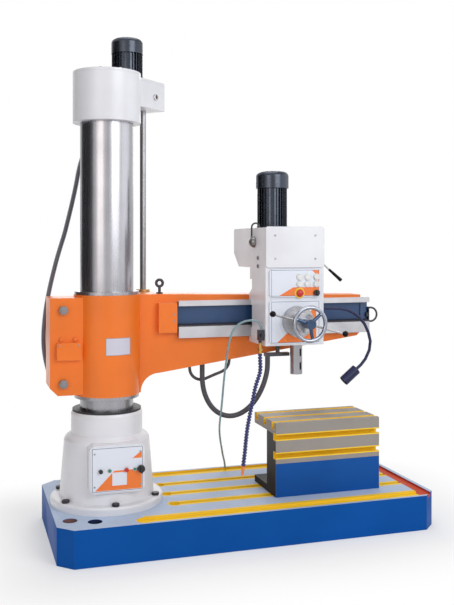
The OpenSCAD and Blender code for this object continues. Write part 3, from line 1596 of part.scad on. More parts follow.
module coolant_hose() {
  color("navy") ribbed(coolant_hose_route, coolant_hose_r, coolant_hose_ribs, 0.72, 0.5, 8);
}

module coolant_nozzle() {
  end = last(coolant_hose_route);
  before = coolant_hose_route[len(coolant_hose_route) - 2];
  way = unit(end - before);
  color("orangered") difference() {
    rod(end, end + nozzle_l * way, coolant_hose_r, coolant_hose_r * 0.5);
    rod(end - over * way, end + (nozzle_l + over) * way, coolant_hose_r * 0.5, coolant_hose_r * 0.25);
  }
}

base_plate();
pedestal();
pedestal_bolts();
inner_column();
column_bearings();
column_seal();
work_table();
table_bolts();
switch_box();
switch_plate();
power_on_button();
power_off_button();
main_switch();
outer_column();
top_cap();
cap_lid();
lift_motor();
lift_cowl();
lift_pinion();
lead_screw();
lift_gear();
arm_casting();
lift_nut();
arm_wipers();
guideways();
traverse_rack();
clamp_bolts();
junction_box();
eyebolt();
end_bow();
head_casting();
front_cover();
head_panels();
head_motor();
head_cowl();
cable_dome();
motor_lead();
coolant_valve();
lamp_neck();
lamp_head();
arm_up_button();
arm_down_button();
clamp_button();
release_button();
spindle_button();
jog_button();
emergency_stop();
mode_knob();
quill();
spindle();
feed_hub();
feed_levers();
handwheel();
speed_lever();
column_conduit();
head_conduit();
arm_conduit();
supply_hose();
coolant_hose();
coolant_nozzle();
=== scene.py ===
"""Looks of a radial arm drill: finishes, hoses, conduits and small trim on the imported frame."""

import math

import bmesh
import bpy
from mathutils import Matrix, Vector


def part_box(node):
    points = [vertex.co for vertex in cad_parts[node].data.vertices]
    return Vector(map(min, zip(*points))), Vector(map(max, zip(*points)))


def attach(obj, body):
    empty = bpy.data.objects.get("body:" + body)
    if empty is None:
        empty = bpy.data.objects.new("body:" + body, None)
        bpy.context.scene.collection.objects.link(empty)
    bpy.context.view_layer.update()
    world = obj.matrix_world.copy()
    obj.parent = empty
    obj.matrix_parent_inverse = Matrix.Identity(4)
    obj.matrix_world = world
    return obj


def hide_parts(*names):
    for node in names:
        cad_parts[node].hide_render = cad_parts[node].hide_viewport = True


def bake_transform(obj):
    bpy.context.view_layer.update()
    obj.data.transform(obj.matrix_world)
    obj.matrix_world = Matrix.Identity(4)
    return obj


bl_info = {
    "name": "Radial arm drill",
    "version": (1, 0, 0),
    "blender": (4, 5, 0),
    "location": "View3D > Sidebar > Drill",
    "description": "Dresses the packed radial arm drill with finishes, hoses and trim",
    "category": "Object",
}

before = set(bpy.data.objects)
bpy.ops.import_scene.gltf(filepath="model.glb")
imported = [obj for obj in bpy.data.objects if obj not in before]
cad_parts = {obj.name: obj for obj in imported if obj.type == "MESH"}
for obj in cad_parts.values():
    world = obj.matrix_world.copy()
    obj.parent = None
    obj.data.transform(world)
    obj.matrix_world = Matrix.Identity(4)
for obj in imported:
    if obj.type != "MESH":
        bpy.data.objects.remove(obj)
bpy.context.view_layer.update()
MM = 0.001
FRONT = (0, -1, 0)
UP = (0, 0, 1)
STAIN = (0.62, 0.60, 0.58)
RUBBED_WHITE = (0.52, 0.52, 0.54)
RUBBED_PRINT = (0.5, 0.5, 0.5)
BUTTON_WHITE = (0.78, 0.78, 0.78)

# Routes of the hoses and conduits, in millimetres, from outlet to far end
COLUMN_CONDUIT = (
    (-94, 148, 2330), (-94, 148, 2300), (-94, 148, 2268), (-97, 151, 2232), (-105, 157, 2192),
    (-116, 165, 2150), (-128, 175, 2105), (-138, 185, 2055), (-147, 193, 2000), (-160, 198, 1935),
    (-176, 200, 1863), (-195, 200, 1784), (-215, 200, 1705), (-237, 200, 1633), (-258, 200, 1561),
    (-278, 200, 1483), (-296, 200, 1406), (-310, 202, 1334), (-321, 207, 1262), (-328, 216, 1190),
    (-331, 229, 1120), (-329, 243, 1055), (-323, 253, 1003), (-315, 258, 958), (-308, 254, 927.5),
    (-300.5, 242.2, 899), (-293, 223.4, 874.6), (-287, 199, 855.8), (-282.5, 170.5, 844),
    (-280, 140, 840), (-280, 125, 840), (-280, 110, 840),
)
HEAD_CONDUIT = (
    (580, 60, 940), (580, 60, 905), (580, 60, 870), (581, 60, 834), (586, 60, 794), (597, 60, 752),
    (614, 58, 712), (638, 55, 675), (669, 49, 645), (706, 41, 626), (746, 29, 620), (784, 14, 628),
    (818, -5, 648), (847, -25, 677), (872, -45, 713), (894, -64, 757), (912, -80, 806),
    (925, -91, 855), (933, -98, 902), (935, -100, 944), (935, -100, 965), (935, -100, 985),
)
ARM_CONDUIT = (
    (512, 96, 930), (512, 96, 919), (512, 96, 908), (515.6, 96, 885.4), (525.9, 96, 865.1),
    (542.1, 96, 848.9), (562.4, 96.5, 838.6), (585, 97, 835), (610, 98, 839.4), (644, 99, 851.7),
    (678, 99, 864.1), (712, 98, 876.4), (731.4, 97.5, 887.1), (746.8, 97, 903.1),
    (756.6, 96.5, 923), (760, 96, 945), (760, 96, 955), (760, 96, 965),
)
SUPPLY_HOSE = (
    (820, -305, 1163), (820, -305, 1172), (817, -303, 1188.8), (809, -298, 1203),
    (797, -290.3, 1212.7), (783, -281, 1216), (760, -266.5, 1214), (734, -251, 1206),
    (708, -237.5, 1190), (688, -227, 1166), (674, -218, 1134), (666, -206, 1094), (662, -189, 1046),
    (662, -160, 981), (664, -130, 925), (667, -103, 876), (671, -70, 810), (674, -45, 752),
    (676, -24, 700), (677, -4, 650), (679, 22, 598), (688, 62, 544), (709, 125, 485),
    (738, 203, 428), (767, 277, 375), (791, 337, 327), (809, 377, 290), (822, 402, 262),
    (831, 418, 238), (835, 424.5, 220), (836, 426, 210), (836, 426, 205),
)
COOLANT_HOSE = (
    (815, -305, 1031), (815, -305, 1015), (815, -305, 999), (816, -305, 975), (816.5, -305, 950),
    (813.5, -305, 922), (805, -305, 895), (795, -305, 868), (786, -305, 838), (779, -305, 808),
    (773, -305, 778), (767, -305, 750), (760, -305, 720), (754, -305, 690), (748, -305, 660),
    (742, -305, 630), (737, -305, 598), (733, -305, 565), (729, -305, 530), (726, -305, 495),
    (722, -305, 462), (718, -305, 432), (715, -305, 405),
)
MOTOR_LEAD = (
    (820, -145.7, 1691.6), (820, -145.7, 1706), (820, -146.2, 1726), (820, -146.8, 1744),
    (823.1, -147.5, 1756.5), (831.5, -148.4, 1764.9), (843, -149.3, 1768), (854.5, -150.3, 1764.9),
    (862.9, -151.2, 1756.5), (866, -152, 1746), (866, -152, 1740),
)

CORD_SIDES = 20
WHITE_BUTTONS = (
    "arm_up_button", "arm_down_button", "clamp_button", "release_button", "spindle_button",
    "jog_button",
)


def length_prop(name, description, default):
    """A length that a user can change, in metres."""
    return bpy.props.FloatProperty(
        name=name, description=description, default=default, min=0.0, unit="LENGTH"
    )


def colour_prop(name, description, default):
    """A linear colour that a user can change."""
    return bpy.props.FloatVectorProperty(
        name=name, description=description, default=default, subtype="COLOR", size=3, min=0.0, max=1.0
    )


def count_prop(name, description, default):
    """A whole number that a user can change."""
    return bpy.props.IntProperty(name=name, description=description, default=default, min=4, max=240)


class DrillSizes(bpy.types.PropertyGroup):
    """Sizes of the hoses and the trim."""

    column_conduit_d: length_prop("Column conduit", "Diameter of the ribbed conduit", 0.028)
    head_conduit_d: length_prop("Head conduit", "Diameter of the conduit to the head", 0.030)
    arm_conduit_d: length_prop("Arm conduit", "Diameter of the small conduit under the arm", 0.018)
    supply_hose_d: length_prop("Supply hose", "Diameter of the clear supply hose", 0.012)
    coolant_hose_d: length_prop("Coolant hose", "Diameter of the segmented hose", 0.022)
    motor_lead_d: length_prop("Motor lead", "Diameter of the head motor's lead", 0.010)
    column_ribs: count_prop("Column ribs", "Ribs on the column conduit", 150)
    coolant_ribs: count_prop("Coolant segments", "Segments of the coolant hose", 38)
    dial_lines: count_prop("Dial lines", "Lines round the feed dial", 60)
    edge_round: length_prop("Edge rounding", "Radius that light sees on cast edges", 0.004)
    slot_lip: length_prop("Slot lip", "Half width of the yellow painted round a slot", 0.038)
    lens_mm: bpy.props.FloatProperty(
        name="Lens", description="Focal length of the camera", default=50.58, min=10.0
    )


class DrillColours(bpy.types.PropertyGroup):
    """Colours of the paints, metals and plastics."""

    white: colour_prop("White paint", "Pedestal, cap and head", (0.75, 0.755, 0.80))
    orange: colour_prop("Orange paint", "Arm", (0.86, 0.185, 0.015))
    blue: colour_prop("Blue paint", "Base and table foot", (0.0, 0.078, 0.345))
    deck: colour_prop("Deck", "Top of the base", (0.47, 0.57, 0.74))
    yellow: colour_prop("Yellow paint", "Slots and gutters", (0.95, 0.62, 0.02))
    brown: colour_prop("Gutter brown", "End gutter", (0.58, 0.065, 0.02))
    tie_hole: colour_prop("Tie hole", "Floor of the left tie-down hole", (0.24, 0.13, 0.13))
    recess: colour_prop("Arm recess", "Dark blue between the guideways", (0.022, 0.062, 0.165))
    plate: colour_prop("Plates", "Printed plates", (0.72, 0.76, 0.85))
    line: colour_prop("Frame lines", "Thin lines on the plates", (0.02, 0.03, 0.08))
    black: colour_prop("Black", "Knobs and seals", (0.012, 0.012, 0.015))
    motor: colour_prop("Motors", "Motor frames and cowls", (0.055, 0.062, 0.078))
    steel: colour_prop("Steel", "Ground steel", (0.37, 0.365, 0.39))
    way: colour_prop("Guideways", "Ground guideways", (0.48, 0.475, 0.50))
    dark_steel: colour_prop("Dark steel", "Blackened steel", (0.060, 0.056, 0.066))
    iron: colour_prop("Machined iron", "Table faces", (0.31, 0.285, 0.265))
    # Near-black painted shade laid over the inside of the work table's hollow
    hollow_shade: colour_prop("Table hollow", "Unpainted inside of the table", (0.010, 0.008, 0.010))
    wheel: colour_prop("Wheel rim", "Rim of the handwheel", (0.31, 0.33, 0.38))
    wheel_hub: colour_prop("Wheel hub", "Hub and spokes of the handwheel", (0.058, 0.09, 0.155))
    brass: colour_prop("Brass", "Fittings", (0.58, 0.37, 0.11))
    red: colour_prop("Red plastic", "Stop buttons", (0.58, 0.02, 0.02))
    teal: colour_prop("Pilot lamps", "Pilot lamp caps", (0.03, 0.32, 0.22))
    lamp: colour_prop("Lamp paint", "Work lamp", (0.012, 0.016, 0.065))
    rubber: colour_prop("Conduit", "Smooth conduits", (0.062, 0.060, 0.076))
    ribbed: colour_prop("Ribbed conduit", "Column conduit", (0.15, 0.148, 0.18))
    clear_hose: colour_prop("Clear hose", "Supply hose", (0.31, 0.47, 0.52))
    coolant: colour_prop("Coolant hose", "Segmented hose", (0.022, 0.03, 0.155))
    nozzle: colour_prop("Nozzle", "Coolant nozzle", (0.80, 0.22, 0.07))


def sizes():
    """The size settings of this scene."""
    return bpy.context.scene.drill_sizes


def tone(name):
    """A colour of the colour settings."""
    return tuple(getattr(bpy.context.scene.drill_colours, name))


# Shader helpers


def add(tree, kind, **settings):
    """A new node in a tree, with its settings."""
    made = tree.nodes.new(kind)
    for key, value in settings.items():
        setattr(made, key, value)
    return made


def feed(tree, sockets, values):
    """Links sockets to other sockets, or sets them to plain values."""
    for socket, value in zip(sockets, values):
        if isinstance(value, bpy.types.NodeSocket):
            tree.links.new(value, socket)
        else:
            socket.default_value = value


def fit(tree, sockets, values):
    """Links or sets sockets by name."""
    feed(tree, [sockets[name] for name in values], values.values())


def math_node(tree, operation, *values):
    """A math node fed by links or numbers; returns its output."""
    made = add(tree, "ShaderNodeMath", operation=operation)
    feed(tree, made.inputs, values)
    return made.outputs[0]


def vector_node(tree, operation, *values):
    """A vector math node fed by links or triples; returns its vector output."""
    made = add(tree, "ShaderNodeVectorMath", operation=operation)
    feed(tree, made.inputs, values)
    return made.outputs["Value" if operation in ("DOT_PRODUCT", "LENGTH") else "Vector"]


def mix_colour(tree, factor, first, second, blend="MIX"):
    """A colour mix of links or triples by a mask; returns its output."""
    made = add(tree, "ShaderNodeMix", data_type="RGBA", blend_type=blend)
    triples = [v if isinstance(v, bpy.types.NodeSocket) else (*v, 1.0) for v in (first, second)]
    feed(tree, (made.inputs["Factor"], made.inputs[6], made.inputs[7]), (factor, *triples))
    return made.outputs[2]


def ranged(tree, value, low, high, to_low, to_high):
    """A value carried smoothly from one range to another."""
    made = add(tree, "ShaderNodeMapRange", interpolation_type="SMOOTHSTEP")
    feed(tree, made.inputs[:5], (value, low, high, to_low, to_high))
    return made.outputs["Result"]


def place_of(tree):
    """The place on the object, in metres."""
    return add(tree, "ShaderNodeTexCoord").outputs["Object"]


def noise(tree, place, scale, detail):
    """Soft noise at a place; returns its value."""
    made = add(tree, "ShaderNodeTexNoise")
    fit(tree, made.inputs, {"Vector": place, "Scale": scale, "Detail": detail})
    return made.outputs["Fac"]


def bumped(tree, height, strength, depth, normal):
    """A normal pushed by a height."""
    made = add(tree, "ShaderNodeBump")
    fit(tree, made.inputs, {
        "Height": height, "Strength": strength, "Distance": depth, "Normal": normal,
    })
    return made.outputs["Normal"]


def bevelled(tree, radius, samples):
    """The normal of edges rounded by a radius."""
    made = add(tree, "ShaderNodeBevel", samples=samples)
    fit(tree, made.inputs, {"Radius": radius})
    return made.outputs["Normal"]


def fill_patina(tree, given, out):
    """Soft blotches and fine speckles."""
    place = place_of(tree)
    blotch = noise(tree, place, given["Scale"], 6.0)
    speckle = noise(tree, place, math_node(tree, "MULTIPLY", given["Scale"], 22.0), 3.0)
    fit(tree, out, {
        "Blotch": ranged(tree, blotch, 0.35, 0.70, 0.0, 1.0),
        "Speckle": ranged(tree, speckle, 0.55, 0.80, 0.0, 1.0),
    })


def fill_edges(tree, given, out):
    """Rounded edges with a fine peel, and a mask of the rubbed edges."""
    rounded = bevelled(tree, given["Radius"], 6)
    peel = noise(tree, place_of(tree), given["Peel scale"], 4.0)
    flat = add(tree, "ShaderNodeNewGeometry").outputs["Normal"]
    turn = vector_node(tree, "DOT_PRODUCT", rounded, flat)
    rubbed = math_node(tree, "MULTIPLY", math_node(tree, "SUBTRACT", 1.0, turn), peel)
    fit(tree, out, {
        "Normal": bumped(tree, peel, given["Peel height"], 0.6 * MM, rounded),
        "Wear": math_node(tree, "MINIMUM", math_node(tree, "MULTIPLY", rubbed, 9.0), 1.0),
    })


def fill_tool_marks(tree, given, out):
    """Fine lines left by a tool, as a mask and a normal."""
    along = vector_node(tree, "MULTIPLY", place_of(tree), given["Stretch"])
    lines = noise(tree, along, 1.0, 5.0)
    rounded = bevelled(tree, 1.5 * MM, 4)
    fit(tree, out, {
        "Lines": lines,
        "Normal": bumped(tree, lines, given["Height"], 0.3 * MM, rounded),
    })


def fill_box_zone(tree, given, out):
    """Mask of a box."""
    place = place_of(tree)
    above = vector_node(tree, "SUBTRACT", place, given["Low"])
    below = vector_node(tree, "SUBTRACT", given["High"], place)
    split = add(tree, "ShaderNodeSeparateXYZ")
    tree.links.new(vector_node(tree, "MINIMUM", above, below), split.inputs["Vector"])
    least = math_node(tree, "MINIMUM", split.outputs["X"], split.outputs["Y"])
    least = math_node(tree, "MINIMUM", least, split.outputs["Z"])
    tree.links.new(math_node(tree, "GREATER_THAN", least, 0.0), out["Mask"])


def fill_round_zone(tree, given, out):
    """Mask of a round bar; Across is 0 along its axis and 1 the other ways."""
    off = vector_node(tree, "SUBTRACT", place_of(tree), given["Centre"])
    reach = vector_node(tree, "LENGTH", vector_node(tree, "MULTIPLY", off, given["Across"]))
    tree.links.new(math_node(tree, "LESS_THAN", reach, given["Radius"]), out["Mask"])


def fill_slant(tree, given, out):
    """Mask to one side of a slanted plane."""
    off = vector_node(tree, "SUBTRACT", place_of(tree), given["Point"])
    side = vector_node(tree, "DOT_PRODUCT", off, given["Across"])
    tree.links.new(math_node(tree, "GREATER_THAN", side, 0.0), out["Mask"])


# Shared effects: how each is filled, its inputs with their defaults, and its outputs
EFFECTS = {
    "Patina": (fill_patina, {"Scale": 3.0}, {"Blotch": "Float", "Speckle": "Float"}),
    "Round edges": (
        fill_edges,
        {"Radius": 3 * MM, "Peel scale": 260.0, "Peel height": 0.05},
        {"Normal": "Vector", "Wear": "Float"},
    ),
    "Tool marks": (
        fill_tool_marks,
        {"Stretch": (4.0, 4.0, 400.0), "Height": 0.1},
        {"Lines": "Float", "Normal": "Vector"},
    ),
    "Box zone": (fill_box_zone, {"Low": (0, 0, 0), "High": (0, 0, 0)}, {"Mask": "Float"}),
    "Round zone": (
        fill_round_zone,
        {"Centre": (0, 0, 0), "Across": (1, 1, 1), "Radius": 0.0},
        {"Mask": "Float"},
    ),
    "Slanted edge": (fill_slant, {"Point": (0, 0, 0), "Across": (1, 0, -1)}, {"Mask": "Float"}),
}


def built_effect(name):
    """Builds one of the shared effects as a node group."""
    fill, inputs, outputs = EFFECTS[name]
    group = bpy.data.node_groups.new(name, "ShaderNodeTree")
    for title, default in inputs.items():
        kind = "NodeSocketVector" if isinstance(default, tuple) else "NodeSocketFloat"
        made = group.interface.new_socket(name=title, in_out="INPUT", socket_type=kind)
        made.default_value = default
    for title, kind in outputs.items():
        group.interface.new_socket(name=title, in_out="OUTPUT", socket_type="NodeSocket" + kind)
    fill(group, add(group, "NodeGroupInput").outputs, add(group, "NodeGroupOutput").inputs)
    return group


def effect(tree, name, **values):
    """A shared effect placed in a material with its own values; returns its outputs."""
    group = bpy.data.node_groups.get(name) or built_effect(name)
    made = add(tree, "ShaderNodeGroup", node_tree=group)
    for key, value in values.items():
        made.inputs[key.replace("_", " ").capitalize()].default_value = value
    return made.outputs


def zone(tree, low, high):
    """Mask of a box given in metres."""
    return effect(tree, "Box zone", low=low, high=high)["Mask"]


def round_zone(tree, centre, across, radius):
    """Mask of a round bar given in metres."""
    return effect(tree, "Round zone", centre=centre, across=across, radius=radius)["Mask"]


def slant(tree, point, across):
    """Mask to one side of a slanted plane through a point."""
    return effect(tree, "Slanted edge", point=point, across=across)["Mask"]


def both(tree, first, second):
    """Mask where two masks hold."""
    return math_node(tree, "MULTIPLY", first, second)


def either(tree, *masks):
    """Mask where any mask holds."""
    found = masks[0]
    for mask in masks[1:]:
        found = math_node(tree, "MAXIMUM", found, mask)
    return found


def facing(tree, axis):
    """Mask of the faces that look along an axis, within about 45 degrees."""
    normal = add(tree, "ShaderNodeTexCoord").outputs["Normal"]
    return math_node(tree, "GREATER_THAN", vector_node(tree, "DOT_PRODUCT", normal, axis), 0.7)


# Finishes


def new_material(name):
    """A material with one Principled shader; returns it, its tree and the shader's inputs."""
    material = bpy.data.materials.new(name)
    material.use_nodes = True
    tree = material.node_tree
    shader = next(n for n in tree.nodes if n.type == "BSDF_PRINCIPLED")
    return material, tree, shader.inputs


def stained(tree, colour, mask, share):
    """A colour with darker stains where a mask holds; colour is a link or a triple."""
    return mix_colour(tree, math_node(tree, "MULTIPLY", mask, share), colour, STAIN, "MULTIPLY")


def paint(
    name, colour, bare, painter=None, rough=0.32, wear=0.4, peel=0.06, grime=0.25, shine=0.5, coat=0.2
):
    """Satin paint on metal, rubbed at its edges; painter can lay further colours on it."""
    material, tree, shader = new_material(name)
    patina = effect(tree, "Patina", scale=2.6)
    edges = effect(tree, "Round edges", radius=sizes().edge_round, peel_height=peel)
    laid = stained(tree, painter(tree, colour) if painter else colour, patina["Blotch"], grime)
    rubbed = math_node(tree, "MULTIPLY", edges["Wear"], wear)
    fit(tree, shader, {
        "Base Color": mix_colour(tree, rubbed, laid, bare),
        "Roughness": ranged(tree, patina["Blotch"], 0.0, 1.0, rough, rough + 0.16),
        "Normal": edges["Normal"],
        "Specular IOR Level": shine,
        "Coat Weight": coat,
        "Coat Roughness": 0.2,
    })
    return material


def metal(name, colour, rough, stretch, height=0.12, painter=None):
    """Machined metal with tool marks along a direction; painter can lay further colours on it."""
    material, tree, shader = new_material(name)
    marks = effect(tree, "Tool marks", stretch=stretch, height=height)
    patina = effect(tree, "Patina", scale=5.0)
    laid = painter(tree, colour) if painter else colour
    fit(tree, shader, {
        "Base Color": stained(tree, laid, patina["Blotch"], 0.35),
        "Roughness": ranged(tree, marks["Lines"], 0.0, 1.0, rough, rough + 0.18),
        "Normal": marks["Normal"],
        "Metallic": 1.0,
    })
    return material


def plastic(name, colour, rough, peel=0.10, grain=420.0):
    """Moulded plastic or rubber with a fine grain."""
    material, tree, shader = new_material(name)
    patina = effect(tree, "Patina", scale=9.0)
    edges = effect(tree, "Round edges", radius=1.2 * MM, peel_scale=grain, peel_height=peel)
    fit(tree, shader, {
        "Base Color": stained(tree, colour, patina["Blotch"], 0.3),
        "Roughness": ranged(tree, patina["Speckle"], 0.0, 1.0, rough, rough + 0.2),
        "Normal": edges["Normal"],
    })
    return material


def clear_plastic(name, colour, share):
    """Clouded plastic that lets a share of the light through."""
    material, tree, shader = new_material(name)
    patina = effect(tree, "Patina", scale=14.0)
    fit(tree, shader, {
        "Base Color": stained(tree, colour, patina["Blotch"], 0.4),
        "Roughness": ranged(tree, patina["Blotch"], 0.0, 1.0, 0.15, 0.4),
        "Transmission Weight": share,
        "IOR": 1.42,
    })
    return material


def dress(material, *nodes):
    """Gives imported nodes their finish."""
    for node in nodes:
        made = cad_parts[node]
        if not made.material_slots:
            made.data.materials.append(material)
        for slot in made.material_slots:
            slot.link = "OBJECT"
            slot.material = material


# Colours laid by place


def wide(low, high):
    """A box's corners moved one metre out."""
    return Vector(low) - Vector((1, 1, 1)), Vector(high) + Vector((1, 1, 1))


def middle(node):
    """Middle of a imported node's box."""
    low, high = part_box(node)
    return (low + high) / 2


# Slots and gutters of the base plate, in metres
SLOT_ROWS = (-0.193, 0.0, 0.193)
SLOT_RUN = (0.350, 1.755)
SLOT_EYE = 0.042
SLOT_FLOOR = 0.1
GUTTER_ROW = 0.426
GUTTER_RUN = (0.132, 1.7545)
GUTTER_HALF = 0.039
GUTTER_LIP = 0.024
GUTTER_EYE = 0.047
GUTTER_DEPTH = 0.020


def strip(tree, run, sides, eye, floor):
    """Mask of a strip along X with a round eye at its start; eye is the eye's row and radius."""
    band = zone(tree, (run[0], sides[0], floor), (run[1], sides[1], 1.0))
    bore = round_zone(tree, (run[0], eye[0], 0.0), (1, 1, 0), eye[1])
    return either(tree, band, both(tree, bore, zone(tree, (0.0, -1.0, floor), (1.0, 1.0, 1.0))))


def deck_colours(tree, colour):
    """Pale deck on the base's top, yellow slots and gutters, brown end gutter, the left tie hole's
    floor and painted shade in the right tie hole.
    """
    low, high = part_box("base_plate")
    level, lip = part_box("pedestal")[0].z, sizes().slot_lip
    floor, top = level - GUTTER_DEPTH, level - 2 * MM
    deck = both(tree, facing(tree, UP), zone(tree, (low.x, low.y, floor), high + Vector((1, 1, 1))))
    laid = mix_colour(tree, deck, colour, tone("deck"))
    yellow = [strip(tree, SLOT_RUN, (y - lip, y + lip), (y, SLOT_EYE), SLOT_FLOOR) for y in SLOT_ROWS]
    for side in (-1, 1):
        y = side * GUTTER_ROW
        sides = sorted((y + side * GUTTER_HALF, y - side * (GUTTER_HALF + GUTTER_LIP)))
        yellow.append(strip(tree, GUTTER_RUN, sides, (y, GUTTER_EYE), floor))
    laid = mix_colour(tree, either(tree, *yellow), laid, tone("yellow"))
    # End gutter, left tie-down hole, and the right tie-down hole laid near-black as painted shade
    for name, near, far in (
        ("brown", (GUTTER_RUN[1], -0.463, floor), (1.828, 0.463, top)),
        ("tie_hole", (-0.30, -0.37, 0.1), (-0.20, -0.27, top)),
        # Painted shade: the right tie-down hole is laid in the near-black line colour
        ("line", (-0.17, -0.42, -0.1), (-0.08, -0.33, top)),
    ):
        laid = mix_colour(tree, zone(tree, near, far), laid, tone(name))
    return laid


def table_colours(tree, colour):
    """Blue foot, yellow slots and painted shade inside the work table's hollow."""
    foot_top, hollow_top, skin = 0.389, 0.5555, 4 * MM
    half, depth, sunk = 0.022, 0.042, 2 * MM
    low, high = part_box("work_table")
    (left, front, under), (right, back, over) = wide(low, high)
    lip, size = sizes().slot_lip * 0.5, high - low
    foot = zone(tree, (left, front, under), (right, low.y + skin, foot_top))
    laid = mix_colour(tree, foot, colour, tone("blue"))
    # Painted shade: the inside of the table's hollow is laid near-black
    inside = zone(tree, (left, low.y + skin, under), (right, back, hollow_top))
    laid = mix_colour(tree, inside, laid, tone("hollow_shade"))
    slots, top_floor, front_floor = [], high.z - depth, low.y + depth
    for y in (low.y + share * size.y for share in (0.13, 0.5, 0.88)):
        slots.append(zone(tree, (left, y - lip, top_floor), (right, y + lip, over)))
        slots.append(zone(tree, (left, y - half, top_floor), (right, y + half, high.z - sunk)))
    for z in (low.z + share * size.z for share in (0.56, 0.81)):
        slots.append(zone(tree, (left, front, z - lip), (right, front_floor, z + lip)))
        slots.append(zone(tree, (left, low.y + sunk, z - half), (right, front_floor, z + half)))
    return mix_colour(tree, either(tree, *slots), laid, tone("yellow"))


def arm_colours(tree, colour):
    """Dark blue recess between the guideways."""
    start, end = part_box("guideways")[0].x, 1.62
    recess = zone(tree, (start, -0.052, 1.172), (end, -0.046, 1.290))
    return mix_colour(tree, recess, colour, tone("recess"))


def head_colours(tree, colour):
    """Dark conduit bracket under the head."""
    bracket_top = 1.0725
    low, high = wide(*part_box("head_casting"))
    bracket = zone(tree, low, (high.x, high.y, bracket_top))
    return mix_colour(tree, bracket, colour, tone("dark_steel"))


def framed(tree, laid, low, high, width):
    """A thin dark line inside a front plate's edge; low and high are (x, z)."""
    outer = zone(tree, (low[0], -1, low[1]), (high[0], 1, high[1]))
    inner = zone(
        tree, (low[0] + width, -1, low[1] + width), (high[0] - width, 1, high[1] - width)
    )
    line = both(tree, outer, math_node(tree, "SUBTRACT", 1.0, inner))
    return mix_colour(tree, line, laid, tone("line"))


def panel_colours(tree, colour):
    """Orange slants and frame lines on the head's panels, white bezels, yellow stop collar."""
    line, face, bezel, collar = 2.2 * MM, -0.3452, 0.021, 0.034
    upper = zone(tree, (0.885, -1, 1.354), (1.1575, 1, 1.497))
    lower = zone(tree, (0.885, -1, 1.092), (1.140, 1, 1.318))
    below = zone(tree, (0.8, -1, 1.3), (1.3, 1, 1.402))
    rise = both(tree, slant(tree, (0.905, 0, 1.350), (0.55, 0, -1)), below)
    edge = zone(tree, (1.1520, -1, 1.3), (1.1575, 1, 1.497))
    corner = slant(tree, (1.113, 0, 1.497), (0.8, 0, 1.0))
    lower_rise = both(tree, lower, slant(tree, (0.905, 0, 1.095), (0.85, 0, -1)))
    upper_marks = both(tree, upper, either(tree, rise, edge, corner))
    masks = both(tree, either(tree, upper_marks, lower_rise), facing(tree, FRONT))
    laid = mix_colour(tree, masks, colour, tone("orange"))
    for low, high in (((0.868, 1.353), (1.158, 1.500)), ((0.868, 1.090), (1.158, 1.322))):
        laid = framed(tree, laid, low, high, line)
    proud = zone(tree, (0, -1, 0), (2, face, 2))
    rings = [round_zone(tree, middle(node), (1, 0, 1), bezel) for node in WHITE_BUTTONS]
    laid = mix_colour(tree, both(tree, either(tree, *rings), proud), laid, BUTTON_WHITE)
    stop = round_zone(tree, middle("emergency_stop"), (1, 0, 1), collar)
    return mix_colour(tree, both(tree, stop, proud), laid, tone("yellow"))


def switch_colours(tree, colour):
    """Orange slants, a bare label place and a frame line on the switch plate."""
    border, edge, line = 0.012, 7 * MM, 2.5 * MM
    low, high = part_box("switch_plate")
    inset = zone(
        tree, (low.x + border, -1, low.z + border), (high.x - border, 1, high.z - border)
    )
    below, above = zone(tree, (-1, -1, 0), (1, 1, 0.430)), zone(tree, (0, -1, 0.490), (1, 1, 1))
    rise = both(tree, slant(tree, (low.x + 0.02, 0, low.z + 0.01), (1, 0, -1)), below)
    corner = both(tree, slant(tree, (0.085, 0, 0.485), (0.75, 0, -1)), above)
    masks = both(tree, both(tree, either(tree, rise, corner), inset), facing(tree, FRONT))
    laid = mix_colour(tree, masks, colour, tone("orange"))
    label = zone(tree, (-0.017, -1, 0.350), (0.062, 1, 0.420))
    laid = mix_colour(tree, label, laid, tone("plate"))
    return framed(tree, laid, (low.x + edge, low.z + edge), (high.x - edge, high.z - edge), line)


def wheel_colours(tree, colour):
    """Darker hub and spokes inside the handwheel's rim."""
    rim_inside = 0.0795
    hub = round_zone(tree, middle("handwheel"), (1, 0, 1), rim_inside)
    return mix_colour(tree, hub, colour, tone("wheel_hub"))


def ball_colours(tree, colour):
    """Black balls on the ends of bright rods."""
    ball = 0.034
    low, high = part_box("feed_levers")
    far_low, far_high = wide(low, high)
    left = zone(tree, far_low, (low.x + ball, 1, 2))
    right = zone(tree, (high.x - ball, -1, 0), far_high)
    return mix_colour(tree, either(tree, left, right), colour, tone("black"))


def valve_colours(tree, colour):
    """Dark body over the brass foot of the coolant valve."""
    low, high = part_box("coolant_valve")
    far_low, far_high = wide(low, high)
    body = zone(tree, (far_low.x, far_low.y, low.z + 0.45 * (high.z - low.z)), far_high)
    return mix_colour(tree, body, colour, tone("dark_steel"))


def shift_colours(tree, colour):
    """Bright rod between the shift lever's black knob and its boss."""
    low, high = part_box("speed_lever")
    start = Vector((high.x - 0.38 * (high.x - low.x), 0, low.z + 0.45 * (high.z - low.z)))
    knob = slant(tree, start, (0.77, 0, -0.64))
    return mix_colour(tree, knob, colour, tone("black"))


# Mesh helpers


def mesh_object(name, build, material, sharp=35.0):
    """An object whose mesh is filled by build(bm), smooth apart from edges sharper than an angle."""
    bm = bmesh.new()
    build(bm)
    bmesh.ops.recalc_face_normals(bm, faces=bm.faces)
    mesh = bpy.data.meshes.new(name)
    bm.to_mesh(mesh)
    bm.free()
    mesh.set_sharp_from_angle(angle=math.radians(sharp))
    made = bpy.data.objects.new(name, mesh)
    made.data.materials.append(material)
    bpy.context.collection.objects.link(made)
    return made


def settle(piece, body):
    """Lets a piece ride on a body."""
    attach(piece, body)


